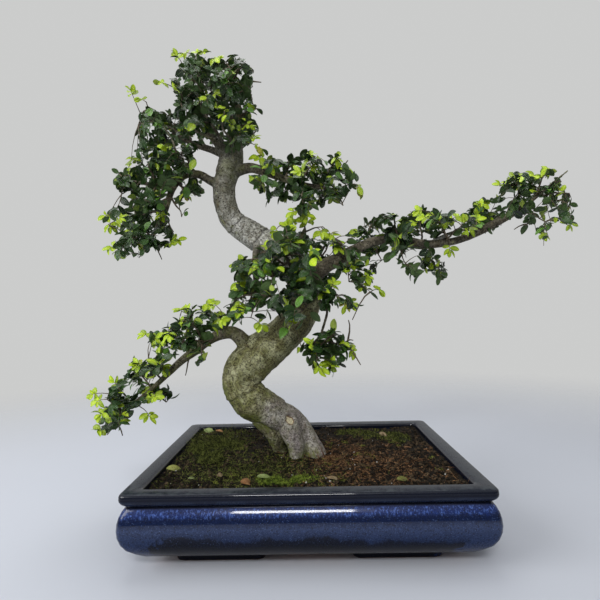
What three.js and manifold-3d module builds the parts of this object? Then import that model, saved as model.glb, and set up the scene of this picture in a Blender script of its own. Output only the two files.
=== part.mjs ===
// A Chinese elm bonsai growing in a glazed rectangular pot.
// Millimetres, +Z up. The pot's front faces -Y and its feet stand on Z = 0.

import * as THREE from 'three';
import { mergeVertices } from 'three/addons/utils/BufferGeometryUtils.js';
import Module from 'manifold-3d';

const wasm = await Module();
wasm.setup();

// Pot sizes
const POT_LENGTH = 355;
const POT_DEPTH = 275;
const POT_HEIGHT = 78;
const RIM_WIDTH = 15;
const LIP_HEIGHT = 13;
const POT_CORNER = 7;
const FOOT_HEIGHT = 12;
const FOOT_LENGTH = 102;
const FOOT_DEPTH = 44;
const FOOT_X = 89;
const FOOT_Y = 92;
const FLOOR_THICKNESS = 8;
const DRAIN_RADIUS = 11;
const DRAIN_X = 85;

// Drainage screens and the wire clips that hold them
const SCREEN_BAR = 3;
const SCREEN_HOLE = 6;
const SCREEN_HOLES = 4;
const SCREEN_THICKNESS = 1.2;
const WIRE_RADIUS = 0.8;

// Soil, moss and fallen leaves
const SOIL_BELOW_RIM = 6.5;
const MOSS_HEIGHT = 3.6;
const FALLEN_LEAF_LENGTH = 19;
const FALLEN_LEAF_THICKNESS = 0.9;

// Leaves on the tree. Angles are in radians.
const LEAF_LENGTH = 24;
const LEAF_WIDTH = 14;
const LEAF_THICKNESS = 3.2;
const LEAF_SUNK = 0.2;
const LEAF_ROOM = 1.12;
const SMALLEST_LEAF = 0.85;
const LARGEST_LEAF = 1.15;
const SIDE_LEAF_LEAN = 0.95;
const TIP_LEAF_LEAN = 0.25;
const LEAF_TURN = 2.4;
const LEAF_TURN_SPREAD = 1.2;
const LEAF_SEED = 11;

// Stems of the leafy shoots
const STEM_SIDES = 3;
const STEM_STEPS = 2;
const STEM_RADII = [1.7, 1.4, 1.0];
const FORK_REACH = 4;
const STEM_SHARE = 0.8;
const STEM_ARCH = 0.06;
const SPUR_SHARE = 0.6;
const SPUR_SQUARENESS = 0.8;
const LIMB_END = 0.95;

// Clearance between pieces that touch, and the pot's place left of the whole tree's middle
const GAP = 0.3;
const POT_SHIFT_X = -52;

const FLOOR_TOP = FOOT_HEIGHT + FLOOR_THICKNESS;
const SOIL_TOP = POT_HEIGHT - SOIL_BELOW_RIM;
const ON_AXIS = -1000;

// Woody limbs. Each route point is x, y, z and radius, from the pot's centre.
const LIMBS = {
  trunk: {
    sides: 12,
    steps: 27,
    fluting: 0.05,
    route: [
      [-27, -7, 114, 16], [-39, -8, 122, 20.5], [-55, -9, 132, 21.5], [-68, -10, 141, 23.5],
      [-79, -10, 160, 23], [-73, -6, 180, 26], [-54, -1, 199, 26], [-31, 4, 216, 23.5],
      [-11, 7, 235, 21.5], [0, 7, 257, 21], [-1, 5, 278, 20], [-9, 2, 299, 19],
      [-25, 0, 319, 18.5], [-48, -3, 336, 17.5], [-68, -5, 350, 16], [-86, -7, 364, 14.5],
      [-95, -7, 383, 14], [-98, -5, 404, 14], [-95, -3, 423, 14.5], [-90, 0, 444, 15.5],
      [-85, 2, 460, 11],
    ],
  },
  front_root: {
    sides: 9,
    steps: 6,
    fluting: 0.05,
    route: [
      [-23, -12, 116, 12.5], [-19, -18, 103, 12.5], [-14, -22, 91, 10], [-13, -24, 78, 8.5],
      [-13, -25, 58, 9],
    ],
  },
  right_root: {
    sides: 10,
    steps: 6,
    fluting: 0.06,
    route: [
      [-20, -5, 125, 12], [-10, -4, 114, 12], [-3, -6, 100, 11.5], [3, -9, 88, 12],
      [9, -14, 76, 13.5], [14, -16, 57, 14.5],
    ],
  },
  left_root: {
    sides: 9,
    steps: 6,
    fluting: 0.06,
    route: [
      [-48, 0, 115, 16], [-44, 5, 104, 14], [-39, 11, 92, 11.5], [-36, 18, 75, 10],
      [-34, 20, 57, 10.5],
    ],
  },
  back_root: {
    sides: 9,
    steps: 6,
    fluting: 0.05,
    route: [
      [-20, 4, 114, 14], [-7, 18, 96, 12], [0, 29, 82, 10.5], [5, 37, 70, 11], [8, 43, 57, 10],
    ],
  },
  long_limb: {
    sides: 7,
    steps: 15,
    fluting: 0.06,
    route: [
      [-5, 2, 271, 16], [18, -2, 298, 10.5], [46, -6, 314, 8], [85, -10, 332, 6.2],
      [120, -12, 334, 5.6], [152, -13, 328, 5.2], [186, -12, 331, 4.8], [221, -9, 343, 4.4],
      [259, -3, 362, 3.8], [286, 3, 379, 2.8], [315, 9, 401, 1.9], [344, 13, 423, 1.1],
    ],
  },
  upper_right_limb: {
    sides: 6,
    steps: 9,
    fluting: 0.05,
    route: [
      [-88, -3, 427, 8], [-63, -8, 430, 6.2], [-38, -12, 420, 4.7], [-12, -14, 410, 3.7],
      [17, -12, 403, 2.9], [50, -8, 399, 1.6],
    ],
  },
  upper_left_limb: {
    sides: 6,
    steps: 8,
    fluting: 0.05,
    route: [
      [-95, -5, 409, 8.2], [-111, -8, 413, 5.7], [-126, -13, 421, 5], [-142, -18, 420, 4.4],
      [-154, -22, 408, 4.2], [-161, -24, 393, 3.9], [-167, -24, 373, 3.4], [-178, -22, 354, 2.7],
      [-187, -18, 337, 1.6],
    ],
  },
  shoulder_branch: {
    sides: 5,
    steps: 5,
    fluting: 0,
    route: [[-156, -22, 404, 3.1], [-174, -28, 403, 2.5], [-189, -32, 406, 2], [-204, -34, 410, 1.4]],
  },
  crown_left_branch: {
    sides: 6,
    steps: 8,
    fluting: 0.05,
    route: [
      [-90, 0, 446, 8.3], [-109, -6, 468, 5.1], [-127, -11, 489, 4], [-136, -12, 512, 3.1],
      [-137, -8, 537, 2.2], [-134, -4, 554, 1.4],
    ],
  },
  crown_right_branch: {
    sides: 6,
    steps: 8,
    fluting: 0.05,
    route: [
      [-85, 2, 450, 8.3], [-78, 6, 482, 5.8], [-79, 9, 510, 4.3], [-84, 8, 536, 3.2],
      [-88, 5, 558, 1.6],
    ],
  },
  crown_side_branch: {
    sides: 6,
    steps: 8,
    fluting: 0.05,
    route: [
      [-89, 0, 447, 7.7], [-115, 8, 460, 4.6], [-145, 14, 473, 3.7], [-167, 10, 489, 3],
      [-185, 3, 494, 2.2], [-194, -2, 500, 1.4],
    ],
  },
  crown_back_branch: {
    sides: 6,
    steps: 6,
    fluting: 0.05,
    route: [[-86, 6, 450, 7.7], [-87, 28, 480, 4.7], [-93, 46, 510, 3.4], [-100, 56, 540, 1.8]],
  },
  centre_top_branch: {
    sides: 5,
    steps: 5,
    fluting: 0,
    route: [[-14, -2, 308, 7.5], [-7, -8, 325, 4.4], [-2, -10, 340, 2.9], [3, -9, 352, 1.7]],
  },
  centre_front_branch: {
    sides: 5,
    steps: 6,
    fluting: 0,
    route: [[-5, -4, 280, 8.8], [-8, -30, 291, 4.8], [-14, -50, 303, 3.4], [-22, -64, 313, 1.7]],
  },
  centre_back_branch: {
    sides: 5,
    steps: 6,
    fluting: 0,
    route: [[-2, 10, 284, 9], [9, 38, 310, 5.2], [22, 62, 329, 3.4], [31, 78, 343, 1.8]],
  },
  hanging_branch: {
    sides: 5,
    steps: 6,
    fluting: 0,
    route: [
      [-53, -6, 339, 6.3], [-57, -22, 324, 4], [-58, -28, 302, 3.1], [-58, -28, 275, 2.4],
      [-59, -26, 254, 1.5],
    ],
  },
  droop_twig: {
    sides: 5,
    steps: 9,
    fluting: 0,
    route: [
      [-6, -26, 291, 3], [3, -36, 290, 2.1], [9, -38, 276, 1.9], [20, -38, 259, 1.8],
      [27, -36, 249, 1.8], [24, -34, 235, 1.8], [19, -32, 219, 1.7], [17, -30, 203, 1.3],
    ],
  },
  lower_left_limb: {
    sides: 7,
    steps: 12,
    fluting: 0.06,
    route: [
      [-69, -6, 200, 12.4], [-79, -9, 216, 8.7], [-90, -10, 224, 6.8], [-104, -12, 222, 5.4],
      [-119, -14, 215, 4.9], [-135, -16, 203, 4.8], [-154, -18, 189, 4.3], [-177, -20, 167, 3.4],
      [-196, -20, 151, 2.6], [-219, -18, 135, 1.7],
    ],
  },
};

// Leafy shoots: the limb that carries each one, how far along it, and where its leaves reach.
const SHOOTS = {
  crown: [
    { limb: 'crown_left_branch', at: 0.9, tips: [[-140, -28, 558], [-122, 20, 579]] },
    { limb: 'crown_right_branch', at: 0.91, tips: [[-96, 14, 578], [-67, -20, 558]] },
    { limb: 'crown_right_branch', at: 0.7, tips: [[-58, 8, 543], [-96, -46, 522]] },
    { limb: 'crown_right_branch', at: 0.45, tips: [[-51, -20, 501], [-56, 12, 481]] },
    { limb: 'crown_right_branch', at: 0.3, tips: [[-90, -44, 482], [-73, -34, 453]] },
    { limb: 'crown_left_branch', at: 0.46, tips: [[-109, -50, 504], [-103, -40, 472]] },
    { limb: 'crown_left_branch', at: 0.68, tips: [[-165, 6, 539], [-142, -36, 496]] },
    {
      limb: 'crown_back_branch',
      at: 0.7,
      tips: [[-128, 52, 566], [-78, 60, 556], [-128, 60, 514], [-60, 56, 504]],
    },
  ],
  shoulder: [
    { limb: 'crown_side_branch', at: 0.78, tips: [[-192, -20, 516], [-199, -34, 476]] },
    { limb: 'crown_side_branch', at: 0.58, tips: [[-181, 40, 523], [-186, 34, 478]] },
    { limb: 'crown_side_branch', at: 0.38, tips: [[-146, -30, 439], [-131, -34, 463]] },
  ],
  cascade: [
    { limb: 'upper_left_limb', at: 0.36, tips: [[-126, -44, 435], [-157, -40, 433], [-139, 26, 432]] },
    { limb: 'upper_left_limb', at: 0.49, tips: [[-132, -40, 380], [-126, -8, 394]] },
    { limb: 'shoulder_branch', at: 0.33, tips: [[-180, -50, 428], [-178, -56, 375]] },
    { limb: 'shoulder_branch', at: 0.8, tips: [[-227, -18, 424], [-213, -48, 388]] },
    { limb: 'upper_left_limb', at: 0.64, tips: [[-165, -62, 374], [-146, -20, 364]] },
    { limb: 'upper_left_limb', at: 0.78, tips: [[-225, 20, 381], [-169, 24, 355]] },
    {
      limb: 'upper_left_limb',
      at: 0.93,
      tips: [[-208, -40, 335], [-208, 18, 358], [-201, -26, 313], [-178, 4, 314]],
    },
  ],
  upper_pad: [
    { limb: 'upper_right_limb', at: 0.31, tips: [[-45, -40, 395], [-27, -24, 434]] },
    { limb: 'upper_right_limb', at: 0.52, tips: [[-23, 28, 405], [-11, 14, 447], [-6, 40, 427]] },
    { limb: 'upper_right_limb', at: 0.67, tips: [[17, -36, 426], [2, -44, 370]] },
    { limb: 'upper_right_limb', at: 0.82, tips: [[47, 22, 439], [33, 30, 396]] },
    { limb: 'upper_right_limb', at: 0.94, tips: [[69, -20, 404], [51, -30, 371]] },
  ],
  centre: [
    { limb: 'centre_top_branch', at: 0.56, tips: [[-29, -30, 355], [-24, -48, 333]] },
    { limb: 'centre_top_branch', at: 0.9, tips: [[0, 14, 378], [29, 4, 357]] },
    { limb: 'centre_front_branch', at: 0.74, tips: [[-44, -62, 318], [-36, -68, 286]] },
    { limb: 'centre_front_branch', at: 0.93, tips: [[-16, -78, 330], [6, -78, 306]] },
    { limb: 'centre_front_branch', at: 0.4, tips: [[-18, -60, 264], [20, -58, 292]] },
    { limb: 'hanging_branch', at: 0.42, tips: [[-85, -20, 302], [-39, -58, 305]] },
    { limb: 'hanging_branch', at: 0.78, tips: [[-83, -14, 267], [-33, -52, 264], [-64, -30, 238]] },
    { limb: 'droop_twig', at: 0.36, tips: [[-4, -54, 246], [44, -44, 266]] },
    {
      limb: 'centre_back_branch',
      at: 0.72,
      tips: [[56, 78, 318], [24, 72, 286], [0, 84, 362], [48, 94, 360]],
    },
  ],
  long_limb: [
    { limb: 'long_limb', at: 0.2, tips: [[37, -42, 336], [54, -34, 277]] },
    { limb: 'long_limb', at: 0.27, tips: [[85, 28, 365], [105, 24, 310]] },
    { limb: 'long_limb', at: 0.35, tips: [[108, -36, 360], [123, -30, 298], [111, -56, 332]] },
    { limb: 'long_limb', at: 0.44, tips: [[155, 26, 373], [175, 20, 300]] },
    { limb: 'long_limb', at: 0.52, tips: [[160, -40, 352], [188, -44, 346]] },
    { limb: 'long_limb', at: 0.63, tips: [[222, 24, 380], [250, 36, 370]] },
    { limb: 'long_limb', at: 0.77, tips: [[256, -30, 398], [291, -34, 345]] },
    { limb: 'long_limb', at: 0.86, tips: [[318, 20, 428], [358, 26, 397]] },
  ],
  lower_limb: [
    { limb: 'lower_left_limb', at: 0.28, tips: [[-93, 16, 253], [-123, 24, 244]] },
    { limb: 'lower_left_limb', at: 0.46, tips: [[-138, -30, 242], [-121, -50, 188], [-143, -58, 215]] },
    { limb: 'lower_left_limb', at: 0.58, tips: [[-182, 18, 221], [-158, 22, 164]] },
    { limb: 'lower_left_limb', at: 0.72, tips: [[-188, -36, 200], [-168, -58, 188]] },
    { limb: 'lower_left_limb', at: 0.84, tips: [[-225, 14, 181], [-176, 10, 134]] },
    { limb: 'lower_left_limb', at: 1, tips: [[-237, -36, 152], [-223, -40, 115], [-252, 6, 121]] },
  ],
  droop: [
    {
      limb: 'droop_twig',
      at: 0.9,
      tips: [[-2, -20, 207], [35, -56, 222], [8, -46, 177], [39, -22, 177], [60, -34, 200]],
    },
  ],
};

// Moss: x, y and half length, half depth of each overlapping cushion in a patch.
const MOSS_PATCHES = {
  front: [[-40, -92, 15, 10], [-21, -94, 19, 10], [-2, -92, 14, 9]],
  left: [[-118, -8, 24, 30], [-104, 26, 30, 26], [-136, 22, 18, 22]],
  right: [[92, 74, 34, 24], [64, 92, 26, 18], [122, 60, 20, 26]],
};

// Fallen leaves: x, y, turn in degrees, size against a full leaf and colour.
const FALLEN_LEAVES = [
  { name: 'yellow_fallen_leaf', x: -150, y: -56, turn: 20, scale: 1, color: 0xc5c763 },
  { name: 'brown_fallen_leaf', x: -62, y: -100, turn: -15, scale: 1, color: 0xb9794a },
  { name: 'olive_fallen_leaf', x: 100, y: -94, turn: 15, scale: 0.9, color: 0x8f9130 },
];

// Turns a closed geometry into a solid that can be joined and cut.
function toSolid(geometry) {
  const bare = geometry.clone();
  bare.deleteAttribute('normal');
  bare.deleteAttribute('uv');
  const merged = mergeVertices(bare, 1e-4);
  return new wasm.Manifold(new wasm.Mesh({
    numProp: 3,
    vertProperties: new Float32Array(merged.attributes.position.array),
    triVerts: new Uint32Array(merged.index.array),
  }));
}

// Turns a solid back into a geometry for a mesh.
function toGeometry(solid) {
  const mesh = solid.getMesh();
  const geometry = new THREE.BufferGeometry();
  geometry.setAttribute('position', new THREE.BufferAttribute(new Float32Array(mesh.vertProperties), 3));
  geometry.setIndex(new THREE.BufferAttribute(new Uint32Array(mesh.triVerts), 1));
  geometry.computeVertexNormals();
  return geometry;
}

// Joins several solids in one.
function joinAll(solids) {
  return solids.reduce((joined, solid) => joined.add(solid));
}

// Repeatable random numbers from 0 to 1.
function seededRandom(seed) {
  let state = seed;
  return () => {
    state = (state + 0x6d2b79f5) | 0;
    let mixed = Math.imul(state ^ (state >>> 15), state | 1);
    mixed ^= mixed + Math.imul(mixed ^ (mixed >>> 7), mixed | 61);
    return ((mixed ^ (mixed >>> 14)) >>> 0) / 4294967296;
  };
}

// One ring of points round a rounded rectangle, counter-clockwise from its front right corner.
function roundedRing(halfX, halfY, radius, cornerSteps, sideSteps) {
  const corners = [[1, -1], [1, 1], [-1, 1], [-1, -1]];
  const arcs = corners.map(([signX, signY], corner) => {
    const arc = [];
    for (let step = 0; step <= cornerSteps; step += 1) {
      const angle = (corner - 1 + step / cornerSteps) * Math.PI / 2;
      arc.push(new THREE.Vector2(
        signX * (halfX - radius) + radius * Math.cos(angle),
        signY * (halfY - radius) + radius * Math.sin(angle),
      ));
    }
    return arc;
  });
  const ring = [];
  arcs.forEach((arc, corner) => {
    ring.push(...arc);
    const from = arc[cornerSteps];
    const to = arcs[(corner + 1) % 4][0];
    for (let step = 1; step < sideSteps; step += 1) {
      ring.push(from.clone().lerp(to, step / sideSteps));
    }
  });
  return ring;
}

// A lathe profile carried round a rounded rectangle instead of a circle. Each profile point is
// its distance out from the rectangle's edge and its height, and ON_AXIS closes an end.
function squaredLathe(profile, { halfX, halfY, corner, cornerSteps, sideSteps = 1 }) {
  const smallestCorner = 3;
  const rings = profile.map(([out]) => {
    const radius = Math.max(corner + out, smallestCorner);
    return out === ON_AXIS ? null : roundedRing(halfX + out, halfY + out, radius, cornerSteps, sideSteps);
  });
  const around = 4 * (cornerSteps + sideSteps);
  const points = profile.map(([out, height]) => new THREE.Vector2(out === ON_AXIS ? 0 : 1, height));
  const geometry = new THREE.LatheGeometry(points, around);
  const position = geometry.attributes.position;
  for (let i = 0; i < position.count; i += 1) {
    const level = i % profile.length;
    const spoke = Math.floor(i / profile.length) % around;
    const place = rings[level] ? rings[level][spoke] : new THREE.Vector2(0, 0);
    position.setXYZ(i, place.x, place.y, profile[level][1]);
  }
  return geometry;
}

// A box standing between two heights.
function boxSolid(sizeX, sizeY, low, high, x = 0, y = 0) {
  const box = new THREE.BoxGeometry(sizeX, sizeY, high - low);
  box.translate(x, y, (low + high) / 2);
  return toSolid(box);
}

// The smooth line through a route's points.
function curveThrough(route) {
  const points = route.map(([x, y, z]) => new THREE.Vector3(x, y, z));
  return new THREE.CatmullRomCurve3(points, false, 'catmullrom', 0.5);
}

// A route's radius, from 0 at its first point to 1 at its last.
function radiusAt(route, along) {
  const place = Math.min(Math.max(along, 0), 1) * (route.length - 1);
  const index = Math.min(Math.floor(place), route.length - 2);
  return THREE.MathUtils.lerp(route[index][3], route[index + 1][3], place - index);
}

// A tapered round limb along a route, with shallow flutes, grown all over by an amount.
function limbGeometry({ route, sides, steps, fluting }, grow = 0) {
  const curve = curveThrough(route);
  const frames = curve.computeFrenetFrames(steps, false);
  const geometry = new THREE.CylinderGeometry(1, 1, 1, sides, steps);
  const position = geometry.attributes.position;
  for (let i = 0; i < position.count; i += 1) {
    const across = position.getX(i);
    const forward = position.getZ(i);
    const step = Math.round((position.getY(i) + 0.5) * steps);
    const along = step / steps;
    const angle = Math.atan2(forward, across);
    const broad = fluting * Math.sin(3 * angle + 7 * along);
    const narrow = 0.6 * fluting * Math.sin(5 * angle - 11 * along);
    const radius = radiusAt(route, curve.getUtoTmapping(along)) * (1 + broad + narrow) + grow;
    const place = curve.getPointAt(along);
    place.addScaledVector(frames.binormals[step], across * radius);
    place.addScaledVector(frames.normals[step], forward * radius);
    const endPush = step === 0 ? -grow : step === steps ? grow : 0;
    place.addScaledVector(frames.tangents[step], endPush);
    position.setXYZ(i, place.x, place.y, place.z);
  }
  return geometry;
}

// Pot: lip, neck, belly and floor in one shell on four feet, with two drain holes.
function potSolid() {
  const plan = { halfX: POT_LENGTH / 2, halfY: POT_DEPTH / 2, corner: POT_CORNER, cornerSteps: 3 };
  const neck = POT_HEIGHT - LIP_HEIGHT;
  const belly = new THREE.SplineCurve([
    new THREE.Vector2(-20, FOOT_HEIGHT),
    new THREE.Vector2(-8, FOOT_HEIGHT + 6),
    new THREE.Vector2(2, FOOT_HEIGHT + 19),
    new THREE.Vector2(4.5, FOOT_HEIGHT + 32),
    new THREE.Vector2(2.5, FOOT_HEIGHT + 44),
    new THREE.Vector2(-2.5, neck - 1),
  ]).getPoints(8).map((point) => [point.x, point.y]);
  const outside = toSolid(squaredLathe([
    [ON_AXIS, FOOT_HEIGHT],
    ...belly,
    [-3, neck + 0.5],
    [1.2, neck + 3.4],
    [2.6, neck + 7.5],
    [2.5, neck + 10],
    [1, POT_HEIGHT - 0.8],
    [-1, POT_HEIGHT],
    [ON_AXIS, POT_HEIGHT],
  ], plan));
  const inside = toSolid(squaredLathe([
    [ON_AXIS, FLOOR_TOP],
    [-26, FLOOR_TOP],
    [-19, FLOOR_TOP + 3],
    [-RIM_WIDTH - 1, FLOOR_TOP + 12],
    [-RIM_WIDTH - 1, POT_HEIGHT - 3],
    [-RIM_WIDTH + 1.5, POT_HEIGHT + 1],
    [ON_AXIS, POT_HEIGHT + 1],
  ], plan));
  let pot = outside.subtract(inside);
  const drain = new THREE.CylinderGeometry(DRAIN_RADIUS, DRAIN_RADIUS, 3 * FLOOR_THICKNESS, 16);
  drain.rotateX(Math.PI / 2);
  drain.translate(0, 0, FOOT_HEIGHT + FLOOR_THICKNESS / 2);
  for (const side of [-1, 1]) {
    pot = pot.subtract(toSolid(drain.clone().translate(side * DRAIN_X, 0, 0)));
  }
  const foot = squaredLathe([
    [ON_AXIS, 0],
    [-5, 0],
    [-3.5, FOOT_HEIGHT * 0.5],
    [0, FOOT_HEIGHT],
    [0, FOOT_HEIGHT + 1.5],
    [ON_AXIS, FOOT_HEIGHT + 1.5],
  ], { halfX: FOOT_LENGTH / 2, halfY: FOOT_DEPTH / 2, corner: 10, cornerSteps: 2 });
  for (const side of [-1, 1]) {
    for (const end of [-1, 1]) {
      pot = pot.add(toSolid(foot.clone().translate(side * FOOT_X, end * FOOT_Y, 0)));
    }
  }
  return pot;
}

// Screen: a square mesh over a drain hole.
function screenSolid() {
  const pitch = SCREEN_BAR + SCREEN_HOLE;
  const size = SCREEN_HOLES * pitch + SCREEN_BAR;
  const low = FLOOR_TOP + GAP;
  const high = low + SCREEN_THICKNESS;
  let screen = boxSolid(size, size, low, high);
  for (let row = 0; row < SCREEN_HOLES; row += 1) {
    for (let column = 0; column < SCREEN_HOLES; column += 1) {
      const x = (column - (SCREEN_HOLES - 1) / 2) * pitch;
      const y = (row - (SCREEN_HOLES - 1) / 2) * pitch;
      screen = screen.subtract(boxSolid(SCREEN_HOLE, SCREEN_HOLE, low - 1, high + 1, x, y));
    }
  }
  return screen;
}

// Clip: a wire staple over the screen, its legs bent out under the pot's floor.
function clipGeometry() {
  const leg = (SCREEN_BAR + SCREEN_HOLE) / 2;
  const under = FOOT_HEIGHT - GAP - WIRE_RADIUS;
  const over = FLOOR_TOP + GAP + SCREEN_THICKNESS + GAP + WIRE_RADIUS;
  const half = [
    [18, under], [12, under], [leg + 1.8, under], [leg, under + 1.8], [leg, over - 5],
    [leg, over - 1.8], [leg - 1.8, over],
  ];
  const points = [
    ...half.map(([x, z]) => new THREE.Vector3(-x, leg, z)),
    ...half.reverse().map(([x, z]) => new THREE.Vector3(x, leg, z)),
  ];
  const section = new THREE.Shape(new THREE.Path().absarc(0, 0, WIRE_RADIUS, 0, 2 * Math.PI).getPoints(3));
  return new THREE.ExtrudeGeometry(section, {
    extrudePath: new THREE.CatmullRomCurve3(points, false, 'centripetal'),
    steps: 14,
    bevelEnabled: false,
  });
}

// Height of the soil's surface, a low uneven mound round the trunk.
function soilHeight(x, y) {
  const mound = 4 * Math.exp(-((x + 15) ** 2 / 6500 + (y - 5) ** 2 / 4200));
  const uneven = 0.9 * Math.sin(x / 21 + 0.6) * Math.cos(y / 17) + 0.6 * Math.sin(x / 9 - y / 13);
  return SOIL_TOP + mound + uneven;
}

// Soil: fills the pot, with a pocket for the roots and room for the screens and clips.
function soilSolid(rootPocket) {
  const wall = -RIM_WIDTH - 1 - GAP;
  const edge = -RIM_WIDTH - 1 - 2 * GAP;
  const base = FLOOR_TOP + GAP;
  const topRings = [edge, -30, -48, -68, -90, -114];
  const geometry = squaredLathe([
    [ON_AXIS, base],
    [-28, base],
    [-20, base + 4],
    [wall, FLOOR_TOP + 13],
    ...topRings.map((out) => [out, SOIL_TOP]),
    [ON_AXIS, SOIL_TOP],
  ], {
    halfX: POT_LENGTH / 2, halfY: POT_DEPTH / 2, corner: POT_CORNER, cornerSteps: 1, sideSteps: 3,
  });
  const position = geometry.attributes.position;
  for (let i = 0; i < position.count; i += 1) {
    if (position.getZ(i) === SOIL_TOP) {
      position.setZ(i, soilHeight(position.getX(i), position.getY(i)));
    }
  }
  let soil = toSolid(geometry).subtract(rootPocket);
  const screenSize = SCREEN_HOLES * (SCREEN_BAR + SCREEN_HOLE) + SCREEN_BAR + 2 * GAP;
  const screenTop = FLOOR_TOP + 2 * GAP + SCREEN_THICKNESS;
  const clipTop = screenTop + 2 * WIRE_RADIUS + 3 * GAP;
  const leg = (SCREEN_BAR + SCREEN_HOLE) / 2;
  for (const side of [-1, 1]) {
    const x = side * DRAIN_X;
    soil = soil.subtract(boxSolid(screenSize, screenSize, base - 5, screenTop, x));
    soil = soil.subtract(boxSolid(2 * leg + 3, 2 * WIRE_RADIUS + 3 * GAP, base - 5, clipTop, x, leg));
  }
  return soil;
}

// Moss: overlapping low cushions that follow the soil under them.
function mossSolid(cushions, soilBelow, rootPocket) {
  const solids = cushions.map(([x, y, halfX, halfY]) => {
    const cushion = new THREE.SphereGeometry(1, 10, 5);
    cushion.rotateX(Math.PI / 2);
    cushion.scale(halfX, halfY, MOSS_HEIGHT);
    cushion.translate(x, y, soilHeight(x, y));
    return toSolid(cushion);
  });
  return joinAll(solids).subtract(soilBelow).subtract(rootPocket);
}

// Fallen leaf: a thin blade lying along the soil.
function fallenLeafSolid({ x, y, turn, scale }, soilBelow, soilAbove) {
  const half = FALLEN_LEAF_LENGTH * scale / 2;
  const outline = new THREE.Shape();
  outline.moveTo(-half, 0);
  outline.quadraticCurveTo(-half * 0.4, -half * 0.95, half, 0);
  outline.quadraticCurveTo(half * 0.2, half * 0.95, -half, 0);
  const column = new THREE.ExtrudeGeometry(outline, { depth: 30, bevelEnabled: false, curveSegments: 6 });
  column.rotateZ(THREE.MathUtils.degToRad(turn));
  column.translate(x, y, SOIL_TOP - 15);
  return toSolid(column).intersect(soilAbove).subtract(soilBelow);
}

// Routes of one shoot: a spur out of its limb, then a stem from the spur's end to each tip.
function shootRoutes({ limb, at, tips }) {
  const { route } = LIMBS[limb];
  const curve = curveThrough(route);
  const anchor = curve.getPoint(at);
  const tangent = curve.getTangent(at);
  const outward = new THREE.Vector3();
  tips.forEach((tip) => outward.add(new THREE.Vector3(...tip).sub(anchor).normalize()));
  if (at < LIMB_END) {
    outward.addScaledVector(tangent, -SPUR_SQUARENESS * outward.dot(tangent));
  }
  const limbRadius = radiusAt(route, at);
  const spurRadius = Math.min(STEM_RADII[0], SPUR_SHARE * limbRadius);
  const fork = anchor.clone().addScaledVector(outward.normalize(), limbRadius + FORK_REACH);
  const stems = tips.map((tip) => {
    const end = fork.clone().lerp(new THREE.Vector3(...tip), STEM_SHARE);
    const middle = fork.clone().lerp(end, 0.5);
    middle.z += STEM_ARCH * fork.distanceTo(end);
    return [fork, middle, end].map((point, index) => [...point.toArray(), STEM_RADII[index]]);
  });
  const spurEnd = fork.clone().addScaledVector(outward, 1);
  return { spur: [[...anchor.toArray(), spurRadius], [...spurEnd.toArray(), STEM_RADII[0]]], stems };
}

// A thin three-sided stem.
function stemSolid(route, steps) {
  return toSolid(limbGeometry({ route, sides: STEM_SIDES, steps, fluting: 0 }));
}

// One leaf: a diamond folded along its midrib, its base sunk in its stem, pointing along a direction.
function leafSolid(base, direction, facing, scale) {
  const leaf = new THREE.TetrahedronGeometry(1);
  leaf.rotateZ(Math.PI / 4);
  leaf.computeBoundingBox();
  const size = leaf.boundingBox.getSize(new THREE.Vector3());
  leaf.scale(LEAF_LENGTH * scale / size.x, LEAF_WIDTH * scale / size.y, LEAF_THICKNESS * scale / size.z);
  leaf.translate(LEAF_LENGTH * scale / 2 - LEAF_SUNK, 0, LEAF_THICKNESS * scale / 2);
  const side = new THREE.Vector3().crossVectors(facing, direction).normalize();
  const up = new THREE.Vector3().crossVectors(direction, side);
  leaf.applyMatrix4(new THREE.Matrix4().makeBasis(direction, side, up).setPosition(base));
  return toSolid(leaf);
}

// Places and directions for the leaves: one from the middle of each stretch, and one at the tip.
function leafPlaces(route, random) {
  const curve = curveThrough(route);
  const places = [];
  for (let step = 1; step <= STEM_STEPS + 1; step += 1) {
    const atTip = step > STEM_STEPS;
    const base = curve.getPointAt(atTip ? 1 : step / STEM_STEPS);
    const tangent = curve.getTangentAt(atTip ? 1 : (step - 0.5) / STEM_STEPS);
    if (!atTip) {
      base.lerp(curve.getPointAt((step - 1) / STEM_STEPS), 0.5);
    }
    const sideways = new THREE.Vector3(0, 0, 1).cross(tangent).normalize();
    sideways.applyAxisAngle(tangent, step * LEAF_TURN + random() * LEAF_TURN_SPREAD);
    const lean = atTip ? TIP_LEAF_LEAN : SIDE_LEAF_LEAN;
    places.push({
      base,
      direction: tangent.clone().multiplyScalar(Math.cos(lean)).addScaledVector(sideways, Math.sin(lean)),
      facing: new THREE.Vector3(random() - 0.5, random() - 0.9, 0.9 + random()).normalize(),
      scale: THREE.MathUtils.lerp(SMALLEST_LEAF, LARGEST_LEAF, random()),
    });
  }
  return places;
}

// Whether two boxes meet.
function boxesMeet(first, second) {
  return [0, 1, 2].every((axis) => (
    first.min[axis] <= second.max[axis] && second.min[axis] <= first.max[axis]
  ));
}

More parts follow.
